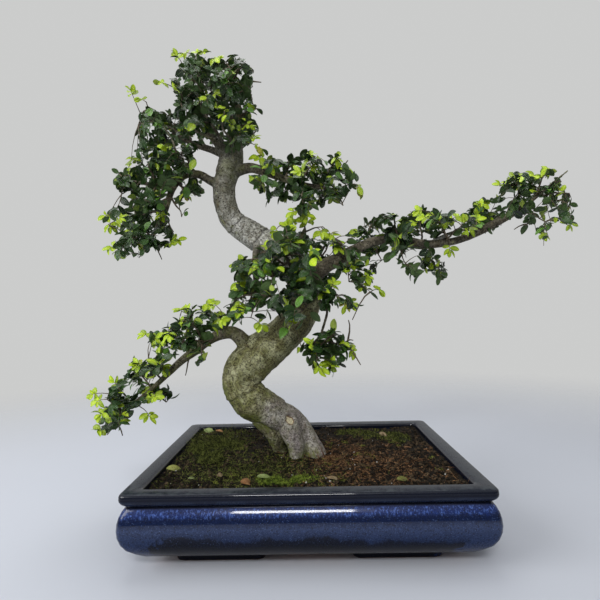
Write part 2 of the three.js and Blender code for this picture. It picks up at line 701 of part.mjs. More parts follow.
// Every shoot's stems first, then its leaves one by one where nothing else is in their way.
function growShoots(woodClear) {
  const random = seededRandom(LEAF_SEED);
  const shoots = Object.entries(SHOOTS).flatMap(([region, list]) => list.map((shoot, index) => {
    const { spur, stems } = shootRoutes(shoot);
    const bare = joinAll([stemSolid(spur, 1), ...stems.map((stem) => stemSolid(stem, STEM_STEPS))]);
    return { name: `${region}_shoot_${index + 1}`, region, stems, solid: bare.subtract(woodClear) };
  }));
  shoots.forEach((entry) => {
    const others = shoots.filter((other) => other !== entry);
    entry.stems.forEach((route) => {
      leafPlaces(route, random).forEach(({ base, direction, facing, scale }) => {
        const room = leafSolid(base, direction, facing, scale * LEAF_ROOM);
        const box = room.boundingBox();
        const blocked = !room.intersect(woodClear).isEmpty() || others.some((other) => (
          boxesMeet(box, other.solid.boundingBox()) && !room.intersect(other.solid).isEmpty()
        ));
        if (!blocked) {
          entry.solid = entry.solid.add(leafSolid(base, direction, facing, scale));
        }
      });
    });
  });
  return shoots;
}

const bonsai = new THREE.Group();
const model = new THREE.Group();
model.position.x = POT_SHIFT_X;
bonsai.add(model);

// Adds one named piece to the model.
function place(name, geometry, color, roughness, metalness = 0) {
  const mesh = new THREE.Mesh(geometry, new THREE.MeshStandardMaterial({ color, roughness, metalness }));
  mesh.name = name;
  model.add(mesh);
  return mesh;
}

const limbs = Object.values(LIMBS);
const wood = joinAll(limbs.map((limb) => toSolid(limbGeometry(limb))));
const woodClear = joinAll(limbs.map((limb) => toSolid(limbGeometry(limb, GAP))));
const soil = soilSolid(woodClear);
const soilGeometry = toGeometry(soil);
const soilBelow = toSolid(soilGeometry.clone().translate(0, 0, GAP));
const soilAbove = toSolid(soilGeometry.clone().translate(0, 0, GAP + FALLEN_LEAF_THICKNESS));

place('pot', toGeometry(potSolid()), 0x1b3472, 0.15);
place('soil', soilGeometry, 0x2c241b, 0.95);
place('trunk', toGeometry(wood), 0x9a9484, 0.8);
for (const [side, name] of [[-1, 'left'], [1, 'right']]) {
  place(`${name}_drain_screen`, toGeometry(screenSolid()), 0x22262a, 0.6).position.x = side * DRAIN_X;
  place(`${name}_screen_clip`, clipGeometry(), 0xb5b5b2, 0.35, 1).position.x = side * DRAIN_X;
}
Object.entries(MOSS_PATCHES).forEach(([side, cushions]) => {
  place(`${side}_moss`, toGeometry(mossSolid(cushions, soilBelow, woodClear)), 0x4d6a24, 0.95);
});
FALLEN_LEAVES.forEach((leaf) => {
  place(leaf.name, toGeometry(fallenLeafSolid(leaf, soilBelow, soilAbove)), leaf.color, 0.7);
});
growShoots(woodClear).forEach(({ name, region, solid }) => {
  place(name, toGeometry(solid), region === 'crown' ? 0x27421f : 0x345a25, 0.45);
});

export default bonsai;
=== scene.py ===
"""Dresses a Chinese elm bonsai and its blue glazed pot.

Sizes and places are in millimetres from the point under the pot's middle, with Z up and the
pot's front towards -Y. in_frame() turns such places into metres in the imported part's frame.
"""

import logging
import math
import random
from dataclasses import dataclass
from enum import Enum
from typing import Sequence

import bpy
import numpy as np
from bpy.types import Material, Node, NodeSocket, NodeTree, Object
from mathutils import Matrix, Vector


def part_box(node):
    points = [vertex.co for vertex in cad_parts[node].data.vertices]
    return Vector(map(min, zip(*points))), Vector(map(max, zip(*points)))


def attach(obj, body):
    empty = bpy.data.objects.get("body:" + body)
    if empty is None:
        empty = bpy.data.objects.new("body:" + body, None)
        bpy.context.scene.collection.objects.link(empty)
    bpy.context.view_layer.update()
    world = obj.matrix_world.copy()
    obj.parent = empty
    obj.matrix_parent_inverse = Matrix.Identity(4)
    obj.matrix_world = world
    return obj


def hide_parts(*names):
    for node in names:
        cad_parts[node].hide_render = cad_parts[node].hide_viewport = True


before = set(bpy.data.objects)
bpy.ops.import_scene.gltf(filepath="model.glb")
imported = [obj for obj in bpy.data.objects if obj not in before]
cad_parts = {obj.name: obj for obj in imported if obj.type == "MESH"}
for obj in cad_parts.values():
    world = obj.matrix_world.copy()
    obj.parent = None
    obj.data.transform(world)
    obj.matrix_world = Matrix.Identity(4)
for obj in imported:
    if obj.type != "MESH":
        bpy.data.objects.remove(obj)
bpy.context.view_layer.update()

log = logging.getLogger("bonsai")

MM = 0.001
PHOTO_SIZE = 600
POT_MIDDLE_X = sum(corner.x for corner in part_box("pot")) / 2
UP = Vector((0, 0, 1))
FRONT = Vector((0, -1, 0))
EYE = (3.0, -564.8, 243.3)

Colour = tuple[float, float, float]
Tones = tuple[Colour, Colour, Colour]
Pair = tuple[float, float]
Point = tuple[float, float, float]
Quad = tuple[float, float, float, float]


class Slot(Enum):
    """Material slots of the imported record."""

    GLAZE = "blue_glaze"
    SOIL = "soil"
    BARK = "bark"
    LEAF = "leaf"
    MOSS = "moss"
    FALLEN_LEAF = "fallen_leaf"
    WIRE = "clip_wire"


class Wood(Enum):
    """Kinds of woody limb, which differ in bark."""

    TRUNK = "trunk"
    ROOT = "root"
    MOSSY_ROOT = "mossy_root"
    LIMB = "limb"


def in_frame(places: Sequence[Sequence[float]] | np.ndarray) -> np.ndarray:
    """Turns millimetres in the pot's own frame into metres in the part's frame."""
    return np.asarray(places, float)[..., :3] * MM + (POT_MIDDLE_X, 0, 0)


def smooth_step(low: float, high: float, values: np.ndarray) -> np.ndarray:
    """Rises smoothly from 0 at low to 1 at high, or falls if low is the larger."""
    share = np.clip((values - low) / (high - low), 0, 1)
    return share * share * (3 - 2 * share)


def soil_height(x: np.ndarray, y: np.ndarray) -> np.ndarray:
    """Gives the height of the soil's surface, a low uneven mound round the trunk."""
    mound = 4 * np.exp(-((x + 15) ** 2 / 6500 + (y - 5) ** 2 / 4200))
    uneven = 0.9 * np.sin(x / 21 + 0.6) * np.cos(y / 17) + 0.6 * np.sin(x / 9 - y / 13)
    return 71.5 + mound + uneven


@dataclass(frozen=True)
class Route:
    """A smooth line through points that each have a radius, such as a limb's."""

    points: tuple[Quad, ...]
    wood: Wood = Wood.LIMB

    def _segment(self, share: float) -> tuple[int, float]:
        """Finds the stretch that holds a share of the route, and the place in it."""
        place = min(max(share, 0.0), 1.0) * (len(self.points) - 1)
        index = min(int(place), len(self.points) - 2)
        return index, place - index

    def _coefficients(self, index: int) -> np.ndarray:
        """Gives the cubic of one stretch, from its constant term up."""
        p = np.array(self.points, float)[:, :3]
        before = p[index - 1] if index else 2 * p[0] - p[1]
        after = p[index + 2] if index + 2 < len(p) else 2 * p[-1] - p[-2]
        start, end = p[index], p[index + 1]
        leave, arrive = (end - before) / 2, (after - start) / 2
        return np.array([start, leave, -3 * start + 3 * end - 2 * leave - arrive,
                         2 * start - 2 * end + leave + arrive])

    def at(self, share: float) -> Vector:
        """Gives the place at a share of the route."""
        index, t = self._segment(share)
        return Vector(np.array([1, t, t * t, t ** 3]) @ self._coefficients(index))

    def tangent(self, share: float) -> Vector:
        """Gives the direction at a share of the route."""
        index, t = self._segment(share)
        return Vector(np.array([0, 1, 2 * t, 3 * t * t]) @ self._coefficients(index)).normalized()

    def radius(self, share: float) -> float:
        """Gives the radius at a share of the route."""
        index, t = self._segment(share)
        return self.points[index][3] * (1 - t) + self.points[index + 1][3] * t

    def sampled(self, count: int) -> np.ndarray:
        """Samples the route evenly, as rows of x, y, z and radius."""
        return np.array([[*self.at(s), self.radius(s)] for s in np.linspace(0, 1, count)])


LIMBS: dict[str, Route] = {
    "trunk": Route((
        (-27, -7, 114, 16), (-39, -8, 122, 20.5), (-55, -9, 132, 21.5), (-68, -10, 141, 23.5),
        (-79, -10, 160, 23), (-73, -6, 180, 26), (-54, -1, 199, 26), (-31, 4, 216, 23.5),
        (-11, 7, 235, 21.5), (0, 7, 257, 21), (-1, 5, 278, 20), (-9, 2, 299, 19), (-25, 0, 319, 18.5),
        (-48, -3, 336, 17.5), (-68, -5, 350, 16), (-86, -7, 364, 14.5), (-95, -7, 383, 14),
        (-98, -5, 404, 14), (-95, -3, 423, 14.5), (-90, 0, 444, 15.5), (-85, 2, 460, 11),
    ), Wood.TRUNK),
    "front_root": Route((
        (-23, -12, 116, 12.5), (-19, -18, 103, 12.5), (-14, -22, 91, 10), (-13, -24, 78, 8.5),
        (-13, -25, 58, 9),
    ), Wood.ROOT),
    "right_root": Route((
        (-33, -5, 125, 14), (-20, -4, 119.5, 13), (-10, -4, 111, 11.8), (-3, -6, 101, 11.3),
        (2.5, -8, 90, 11.8), (8.5, -13, 77, 13.5), (14, -16, 57, 14.5),
    ), Wood.ROOT),
    "left_root": Route((
        (-51, -9, 121, 17), (-44, -9, 110, 14.2), (-39, -7.5, 100, 12.4), (-36.5, -3, 89, 10.3),
        (-34.5, 3, 79, 9.5), (-33, 8, 57, 10.5),
    ), Wood.MOSSY_ROOT),
    "back_root": Route((
        (-20, 4, 114, 14), (-7, 18, 96, 12), (0, 29, 82, 10.5), (5, 37, 70, 11), (8, 43, 57, 10),
    ), Wood.ROOT),
    "long_limb": Route((
        (-5, 2, 271, 16), (18, -2, 298, 10.5), (46, -6, 314, 8), (85, -10, 332, 6.2), (120, -12, 334, 5.6),
        (152, -13, 328, 5.2), (186, -12, 331, 4.8), (221, -9, 343, 4.4), (259, -3, 362, 3.8),
        (286, 3, 379, 2.8), (315, 9, 401, 1.9), (344, 13, 423, 1.1),
    )),
    "upper_right_limb": Route((
        (-88, -3, 427, 8), (-63, -8, 430, 6.2), (-38, -12, 420, 4.7), (-12, -14, 410, 3.7),
        (17, -12, 403, 2.9), (50, -8, 399, 1.6),
    )),
    "upper_left_limb": Route((
        (-95, -5, 409, 8.2), (-111, -8, 413, 5.7), (-126, -13, 421, 5), (-142, -18, 420, 4.4),
        (-154, -22, 408, 4.2), (-161, -24, 393, 3.9), (-167, -24, 373, 3.4), (-178, -22, 354, 2.7),
        (-187, -18, 337, 1.6),
    )),
    "shoulder_branch": Route((
        (-156, -22, 404, 3.1), (-174, -28, 403, 2.5), (-189, -32, 406, 2), (-204, -34, 410, 1.4),
    )),
    "crown_left_branch": Route((
        (-90, 0, 446, 8.3), (-109, -6, 468, 5.1), (-127, -11, 489, 4), (-136, -12, 512, 3.1),
        (-137, -8, 537, 2.2), (-134, -4, 554, 1.4),
    )),
    "crown_right_branch": Route((
        (-85, 2, 450, 8.3), (-78, 6, 482, 5.8), (-79, 9, 510, 4.3), (-84, 8, 536, 3.2), (-88, 5, 558, 1.6),
    )),
    "crown_side_branch": Route((
        (-89, 0, 447, 7.7), (-115, 8, 460, 4.6), (-145, 14, 473, 3.7), (-167, 10, 489, 3),
        (-185, 3, 494, 2.2), (-194, -2, 500, 1.4),
    )),
    "crown_back_branch": Route((
        (-86, 6, 450, 7.7), (-87, 28, 480, 4.7), (-93, 46, 510, 3.4), (-100, 56, 540, 1.8),
    )),
    "crown_front_twig": Route((
        (-92, -2, 452, 4.5), (-98, -28, 462, 2.4), (-106, -42, 474, 1.8), (-114, -50, 488, 1.4),
        (-119, -52, 502, 1.1),
    )),
    "crown_low_twig": Route((
        (-86, -2, 450, 4.5), (-84, -34, 457, 2), (-91, -46, 466, 1.5), (-87, -52, 484, 1.1),
    )),
    "crown_cross_twig": Route((
        (-92, -4, 449, 4.5), (-104, -36, 455, 1.9), (-120, -44, 462, 1.4), (-134, -46, 475, 1.1),
    )),
    "shoulder_twig": Route((
        (-135, -16, 421, 3.2), (-145, -42, 436, 1.7), (-149, -50, 450, 1.3), (-160, -50, 469, 1.1),
    )),
    "long_limb_twig": Route((
        (156, -13, 328, 3.5), (175, -13, 338, 2.3), (191, -12, 343, 2), (209, -10, 346.5, 1.8),
        (229, -8, 352, 1.5), (251, -4, 364, 1.1),
    )),
    "centre_top_branch": Route((
        (-14, -2, 308, 7.5), (-7, -8, 325, 4.4), (-2, -10, 340, 2.9), (3, -9, 352, 1.7),
    )),
    "centre_front_branch": Route((
        (-5, -4, 280, 8.8), (-8, -30, 291, 4.8), (-14, -50, 303, 3.4), (-22, -64, 313, 1.7),
    )),
    "centre_back_branch": Route((
        (-2, 10, 284, 9), (9, 38, 310, 5.2), (22, 62, 329, 3.4), (31, 78, 343, 1.8),
    )),
    "hanging_branch": Route((
        (-53, -6, 339, 6.3), (-57, -22, 324, 4), (-58, -28, 302, 3.1), (-58, -28, 275, 2.4),
        (-59, -26, 254, 1.5),
    )),
    "droop_twig": Route((
        (-6, -26, 291, 3), (3, -36, 290, 2.1), (9, -38, 276, 1.9), (20, -38, 259, 1.8), (27, -36, 249, 1.8),
        (24, -34, 235, 1.8), (19, -32, 219, 1.7), (17, -30, 203, 1.3),
    )),
    "lower_left_limb": Route((
        (-69, -6, 200, 12.8), (-79, -9, 216, 9.4), (-90, -10, 224, 7.6), (-104, -12, 222, 6.4),
        (-119, -14, 215, 6), (-135, -16, 203, 5.7), (-154, -18, 189, 4.8), (-177, -20, 167, 3.5),
        (-196, -20, 151, 2.6), (-219, -18, 135, 1.7),
    )),
}


@dataclass(frozen=True)
class Shoot:
    """A leafy shoot: the limb that carries it, how far along it, and where its stems reach."""

    limb: str
    at: float
    tips: tuple[Point, ...]


@dataclass(frozen=True)
class Region:
    """How one part of the tree bears its twigs and leaves.

    The outlines are where it is pruned, as x and z seen from the front on the plane through the
    trunk. The sprigs are how many leafy twigs it bears for each square centimetre of them.
    """

    shoots: tuple[Shoot, ...]
    outlines: tuple[tuple[Pair, ...], ...]
    fresh: tuple[Point, ...] = ()
    bare: tuple[Point, ...] = ()
    sprigs: float = 1.25
    leaf_length: float = 15.5
    depth: float = 18.0
    droop: float = 0.0
    young_share: float = 0.05


# Outlines and gaps are seen from the front. Tips and twigs' ends are places in the tree.
CROWN = Region(
    leaf_length=14.0, sprigs=1.75, depth=24.0, droop=0.35, young_share=0.03,
    shoots=(
        Shoot("crown_left_branch", 0.9, ((-140, -28, 558), (-122, 20, 579))),
        Shoot("crown_right_branch", 0.91, ((-96, 14, 578), (-67, -20, 558))),
        Shoot("crown_right_branch", 0.7, ((-58, 8, 543), (-96, -46, 522))),
        Shoot("crown_right_branch", 0.45, ((-51, -20, 501), (-56, 12, 481))),
        Shoot("crown_right_branch", 0.3, ((-90, -44, 482), (-73, -34, 453))),
        Shoot("crown_left_branch", 0.46, ((-109, -50, 504), (-103, -40, 472))),
        Shoot("crown_left_branch", 0.68, ((-165, 6, 539), (-142, -36, 496))),
        Shoot("crown_back_branch", 0.7, ((-128, 52, 566), (-78, 60, 556), (-128, 60, 514), (-60, 56, 504))),
    ),
    outlines=((
        (-149, 575), (-140, 584), (-127, 583), (-118, 575), (-108, 572), (-99, 578), (-88, 583), (-75, 578),
        (-65, 569), (-58, 557), (-59, 547), (-63, 539), (-60, 527), (-61, 513), (-59, 504), (-64, 495),
        (-58, 484), (-62, 471), (-67, 461), (-72, 453), (-88, 456), (-107, 458), (-118, 453), (-131, 462),
        (-134, 473), (-144, 484), (-157, 489), (-158, 513), (-157, 530), (-164, 542), (-162, 554),
        (-153, 560),
    ),),
    fresh=(
        (-155, -12, 576), (-149, 4, 586), (-133, 10, 591), (-119, -6, 581), (-100, -25, 561),
        (-174, -16, 538), (-149, -30, 523), (-115, -44, 501), (-98, -46, 506), (-97, -46, 491),
        (-92, -44, 481), (-83, -40, 474), (-73, -34, 468), (-61, -24, 477), (-56, -18, 463),
        (-134, -40, 475), (-52, -16, 452),
    ),
    bare=((-48, -10, 538),),
)
SHOULDER = Region(
    leaf_length=14.5, sprigs=1.55, droop=0.25, young_share=0.04,
    shoots=(
        Shoot("crown_side_branch", 0.78, ((-192, -20, 516), (-199, -34, 476))),
        Shoot("crown_side_branch", 0.58, ((-181, 40, 523), (-186, 34, 478))),
        Shoot("crown_side_branch", 0.38, ((-146, -30, 439), (-131, -34, 463))),
    ),
    outlines=((
        (-205, 506), (-192, 513), (-180, 506), (-167, 511), (-154, 508), (-141, 481), (-136, 463),
        (-134, 450), (-142, 440), (-152, 425), (-180, 420), (-219, 421), (-234, 424), (-226, 440),
        (-219, 452), (-208, 460), (-208, 486),
    ),),
    fresh=((-213, -10, 532), (-201, -12, 520), (-162, -34, 448), (-206, -20, 440), (-215, -16, 429)),
)
CASCADE = Region(
    leaf_length=15.5, sprigs=1.15, droop=0.2, young_share=0.06,
    shoots=(
        Shoot("upper_left_limb", 0.36, ((-126, -44, 435), (-157, -40, 433), (-139, 26, 432))),
        Shoot("upper_left_limb", 0.49, ((-132, -40, 380), (-126, -8, 394))),
        Shoot("shoulder_branch", 0.33, ((-180, -50, 428), (-178, -56, 375))),
        Shoot("shoulder_branch", 0.8, ((-227, -18, 424), (-213, -48, 388))),
        Shoot("upper_left_limb", 0.64, ((-165, -62, 374), (-146, -20, 364))),
        Shoot("upper_left_limb", 0.78, ((-225, 20, 381), (-169, 24, 355))),
        Shoot("upper_left_limb", 0.93, (
            (-208, -40, 335), (-208, 18, 358), (-201, -26, 313), (-178, 4, 314),
        )),
    ),
    outlines=((
        (-237, 409), (-242, 419), (-232, 432), (-193, 431), (-142, 435), (-124, 429), (-122, 408),
        (-135, 393), (-145, 378), (-166, 376), (-175, 364), (-166, 353), (-158, 343), (-174, 334),
        (-194, 332), (-204, 326), (-213, 340), (-222, 322), (-243, 324), (-248, 336), (-231, 350),
        (-245, 358), (-258, 376), (-245, 383), (-227, 387), (-217, 392), (-224, 405),
    ),),
    fresh=(
        (-246, -14, 371), (-232, -24, 355), (-220, -26, 367), (-235, -24, 331), (-228, -20, 326),
        (-156, -8, 341), (-162, -16, 336), (-171, -30, 369), (-177, -36, 389), (-138, -30, 390),
    ),
)
UPPER_PAD = Region(
    leaf_length=16.0, sprigs=1.15, young_share=0.06,
    shoots=(
        Shoot("upper_right_limb", 0.31, ((-45, -40, 395), (-27, -24, 434))),
        Shoot("upper_right_limb", 0.52, ((-23, 28, 405), (-11, 14, 447), (-6, 40, 427))),
        Shoot("upper_right_limb", 0.67, ((17, -36, 426), (2, -44, 370))),
        Shoot("upper_right_limb", 0.82, ((47, 22, 439), (33, 30, 396))),
        Shoot("upper_right_limb", 0.94, ((69, -20, 404), (51, -30, 371))),
    ),
    outlines=((
        (-69, 420), (-58, 430), (-50, 439), (-32, 446), (-22, 440), (-6, 441), (3, 451), (14, 451),
        (22, 441), (34, 439), (42, 448), (53, 444), (57, 429), (64, 419), (70, 408), (61, 399), (52, 396),
        (46, 389), (36, 384), (23, 382), (11, 373), (-3, 373), (-13, 384), (-23, 385), (-35, 386),
        (-43, 393), (-55, 402), (-66, 409),
    ),),
    fresh=(
        (-53, -12, 442), (-37, -24, 425), (12, -6, 446), (-3, -30, 416), (16, -26, 419), (46, -10, 436),
        (58, -6, 425), (-12, -34, 367), (5, -30, 363), (72, -10, 398),
    ),
    bare=((59, -6, 437),),
)
CENTRE = Region(
    leaf_length=17.0, sprigs=1.1, depth=20.0, young_share=0.05,
    shoots=(
        Shoot("centre_top_branch", 0.56, ((-29, -30, 355), (-24, -48, 333))),
        Shoot("centre_top_branch", 0.9, ((0, 14, 378), (29, 4, 357))),
        Shoot("centre_front_branch", 0.74, ((-44, -62, 318), (-36, -68, 286))),
        Shoot("centre_front_branch", 0.93, ((-16, -78, 330), (6, -78, 306))),
        Shoot("centre_front_branch", 0.4, ((-18, -60, 264), (20, -58, 292))),
        Shoot("hanging_branch", 0.42, ((-85, -20, 302), (-39, -58, 305))),
        Shoot("hanging_branch", 0.78, ((-83, -14, 267), (-33, -52, 264), (-64, -30, 238))),
        Shoot("droop_twig", 0.36, ((-4, -54, 246), (44, -44, 266))),
        Shoot("centre_back_branch", 0.72, ((56, 78, 318), (24, 72, 286), (0, 84, 362), (48, 94, 360))),
    ),
    outlines=((
        (-60, 320), (-44, 332), (-36, 347), (-23, 357), (-6, 352), (2, 344), (22, 337), (37, 343),
        (53, 332), (59, 315), (56, 297), (43, 283), (38, 272), (58, 263), (68, 254), (51, 249), (32, 252),
        (22, 247), (14, 235), (0, 228), (-18, 226), (-36, 226), (-54, 231), (-60, 244), (-53, 259),
        (-66, 249), (-74, 237), (-81, 234), (-94, 242), (-99, 252), (-91, 265), (-93, 278), (-85, 290),
        (-90, 310), (-72, 315), (-62, 307),
    ),),
    fresh=(
        (-17, -24, 353), (-8, -20, 358), (7, -14, 359), (-13, -36, 343), (-34, -20, 345), (-42, -34, 327),
        (37, -14, 341), (23, -22, 343), (10, -44, 317), (43, -20, 326), (-81, -20, 304), (-72, -30, 307),
        (-75, -38, 279), (-77, -40, 257), (35, -40, 281), (-51, -30, 233), (-3, -60, 297), (49, -24, 254),
        (58, -20, 256),
    ),
)
LONG_LIMB = Region(
    leaf_length=15.5, sprigs=1.1, depth=15.0, young_share=0.08,
    shoots=(
        Shoot("long_limb", 0.2, ((37, -42, 336), (54, -34, 277))),
        Shoot("long_limb", 0.27, ((85, 28, 365), (105, 24, 310))),
        Shoot("long_limb", 0.35, ((108, -36, 360), (123, -30, 298), (111, -56, 332))),
        Shoot("long_limb", 0.44, ((155, 26, 373), (175, 20, 300))),
        Shoot("long_limb", 0.52, ((160, -40, 352), (188, -44, 346))),
        Shoot("long_limb", 0.63, ((222, 24, 380), (250, 36, 370))),
        Shoot("long_limb", 0.77, ((256, -30, 398), (291, -34, 345))),
        Shoot("long_limb", 0.86, ((318, 20, 428), (358, 26, 397))),
    ),
    outlines=((
        (53, 330), (62, 347), (70, 360), (88, 362), (103, 371), (114, 373), (128, 366), (139, 374),
        (149, 377), (161, 370), (174, 369), (189, 367), (193, 357), (181, 345), (163, 335), (154, 326),
        (167, 317), (179, 302), (179, 287), (168, 281), (159, 295), (146, 290), (138, 281), (129, 298),
        (117, 311), (107, 316), (97, 319), (89, 309), (94, 299), (81, 286), (86, 269), (71, 271), (60, 269),
        (58, 287), (66, 302), (56, 310),
    ), (
        (201, 354), (212, 374), (227, 384), (242, 389), (250, 403), (263, 415), (278, 418), (288, 413),
        (304, 420), (316, 417), (328, 409), (325, 394), (337, 386), (332, 374), (339, 363), (352, 348),
        (331, 351), (318, 354), (310, 334), (302, 324), (295, 337), (291, 349), (278, 352), (264, 360),
        (251, 350), (238, 341), (223, 344), (211, 349),
    )),
    fresh=(
        (56, -30, 299), (78, -24, 289), (73, -20, 276), (93, -18, 272), (141, -20, 368), (147, -26, 359),
        (163, -14, 362), (178, -20, 356), (192, -10, 361), (218, -6, 373), (215, -16, 357), (178, -20, 318),
        (201, -14, 343), (126, -40, 348), (246, -10, 401), (267, 4, 410), (280, 10, 414), (300, 14, 417),
        (322, 20, 424), (345, 20, 354), (309, 10, 337), (339, 24, 401), (229, 0, 379),
    ),
    bare=((57, -30, 237), (333, 10, 408), (338, 8, 379), (264, -4, 345), (334, 12, 362)),
)
LOWER_LIMB = Region(
    leaf_length=15.0, sprigs=1.3, depth=13.0, young_share=0.1,
    shoots=(
        Shoot("lower_left_limb", 0.28, ((-93, 16, 253), (-123, 24, 244))),
        Shoot("lower_left_limb", 0.46, ((-138, -30, 242), (-121, -50, 188), (-143, -58, 215))),
        Shoot("lower_left_limb", 0.58, ((-182, 18, 221), (-158, 22, 164))),
        Shoot("lower_left_limb", 0.72, ((-188, -36, 200), (-168, -58, 188))),
        Shoot("lower_left_limb", 0.84, ((-225, 14, 181), (-176, 10, 134))),
        Shoot("lower_left_limb", 1.0, ((-237, -36, 152), (-223, -40, 115), (-252, 6, 121))),
    ),
    outlines=((
        (-205, 214), (-195, 223), (-177, 229), (-167, 244), (-159, 256), (-136, 262), (-124, 256),
        (-111, 250), (-96, 247), (-86, 237), (-97, 222), (-114, 215), (-127, 208), (-125, 190), (-135, 183),
        (-145, 196), (-157, 203), (-168, 194), (-178, 196), (-188, 204), (-195, 212),
    ), (
        (-221, 190), (-211, 196), (-201, 189), (-188, 197), (-175, 196), (-170, 184), (-176, 171),
        (-186, 164), (-196, 159), (-173, 156), (-163, 146), (-178, 144), (-191, 142), (-199, 129),
        (-209, 132), (-216, 125), (-229, 112), (-242, 105), (-254, 105), (-262, 118), (-254, 130),
        (-244, 138), (-252, 148), (-241, 160), (-236, 167), (-224, 175),
    )),
    fresh=(
        (-255, -30, 155), (-247, -34, 147), (-230, -26, 169), (-241, -40, 133), (-206, -20, 189),
        (-197, -16, 223), (-180, -20, 220), (-173, -30, 210), (-169, -34, 192), (-168, -36, 182),
        (-164, -24, 222), (-153, -10, 255), (-145, -10, 251), (-148, -26, 238), (-122, 4, 261),
        (-116, 4, 261), (-100, -20, 239), (-186, -30, 127), (-178, -34, 150), (-248, -30, 113),
    ),
    bare=((-243, -32, 117), (-237, -30, 107), (-221, -24, 104)),
)
DROOP = Region(
    leaf_length=16.5, sprigs=0.85, depth=12.0, young_share=0.08,
    shoots=(
        Shoot("droop_twig", 0.9, (
            (-2, -20, 207), (35, -56, 222), (8, -46, 177), (39, -22, 177), (60, -34, 200),
        )),
    ),
    outlines=((
        (-6, 207), (7, 220), (22, 222), (34, 227), (47, 222), (59, 206), (53, 189), (46, 177), (33, 170),
        (15, 172), (3, 180), (-4, 193),
    ),),
    fresh=((6, -50, 211), (19, -44, 182), (30, -40, 186), (-14, -50, 238), (57, -30, 199)),
    bare=((52, -34, 237), (57, -34, 213), (65, -34, 184)),
)
REGIONS: dict[str, Region] = {
    "crown": CROWN, "shoulder": SHOULDER, "cascade": CASCADE, "upper_pad": UPPER_PAD, "centre": CENTRE,
    "long_limb": LONG_LIMB, "lower_limb": LOWER_LIMB, "droop": DROOP,
}


class Graph:
    """Builds the nodes of one material or one node group."""

    def __init__(self, tree: NodeTree) -> None:
        """Keeps the tree that the nodes go in."""
        self.tree = tree

    def feed(self, node: Node, sockets: dict[str | int, object]) -> None:
        """Links outputs to a node's inputs, and sets the inputs that take plain values.

        Args:
            node: The node.
            sockets: An output, a number or a colour for each input, by name or index.
        """
        for key, value in sockets.items():
            if isinstance(value, Flow):
                self.tree.links.new(value.socket, node.inputs[key])
            else:
                is_colour = node.inputs[key].type == "RGBA"
                node.inputs[key].default_value = (*value, 1.0) if is_colour else value

    def add(self, kind: str, sockets: dict[str | int, object] | None = None, output: str | int = 0,
            **settings: object) -> "Flow":
        """Adds one node.

        Args:
            kind: The node's type, without the ShaderNode that starts it.
            sockets: What its inputs take.
            output: The output that is wanted.
            **settings: Properties of the node itself.

        Returns:
            That output.
        """
        node = self.tree.nodes.new("ShaderNode" + kind)
        for name, value in settings.items():
            setattr(node, name, value)
        self.feed(node, sockets or {})
        return Flow(self, node.outputs[output])

    def place(self) -> "Flow":
        """Gives the piece's own coordinates, in metres."""
        return self.add("TexCoord", output="Object")

    def attribute(self, name: str, output: str = "Fac") -> "Flow":
        """Reads an attribute of the mesh."""
        return self.add("Attribute", output=output, attribute_name=name)


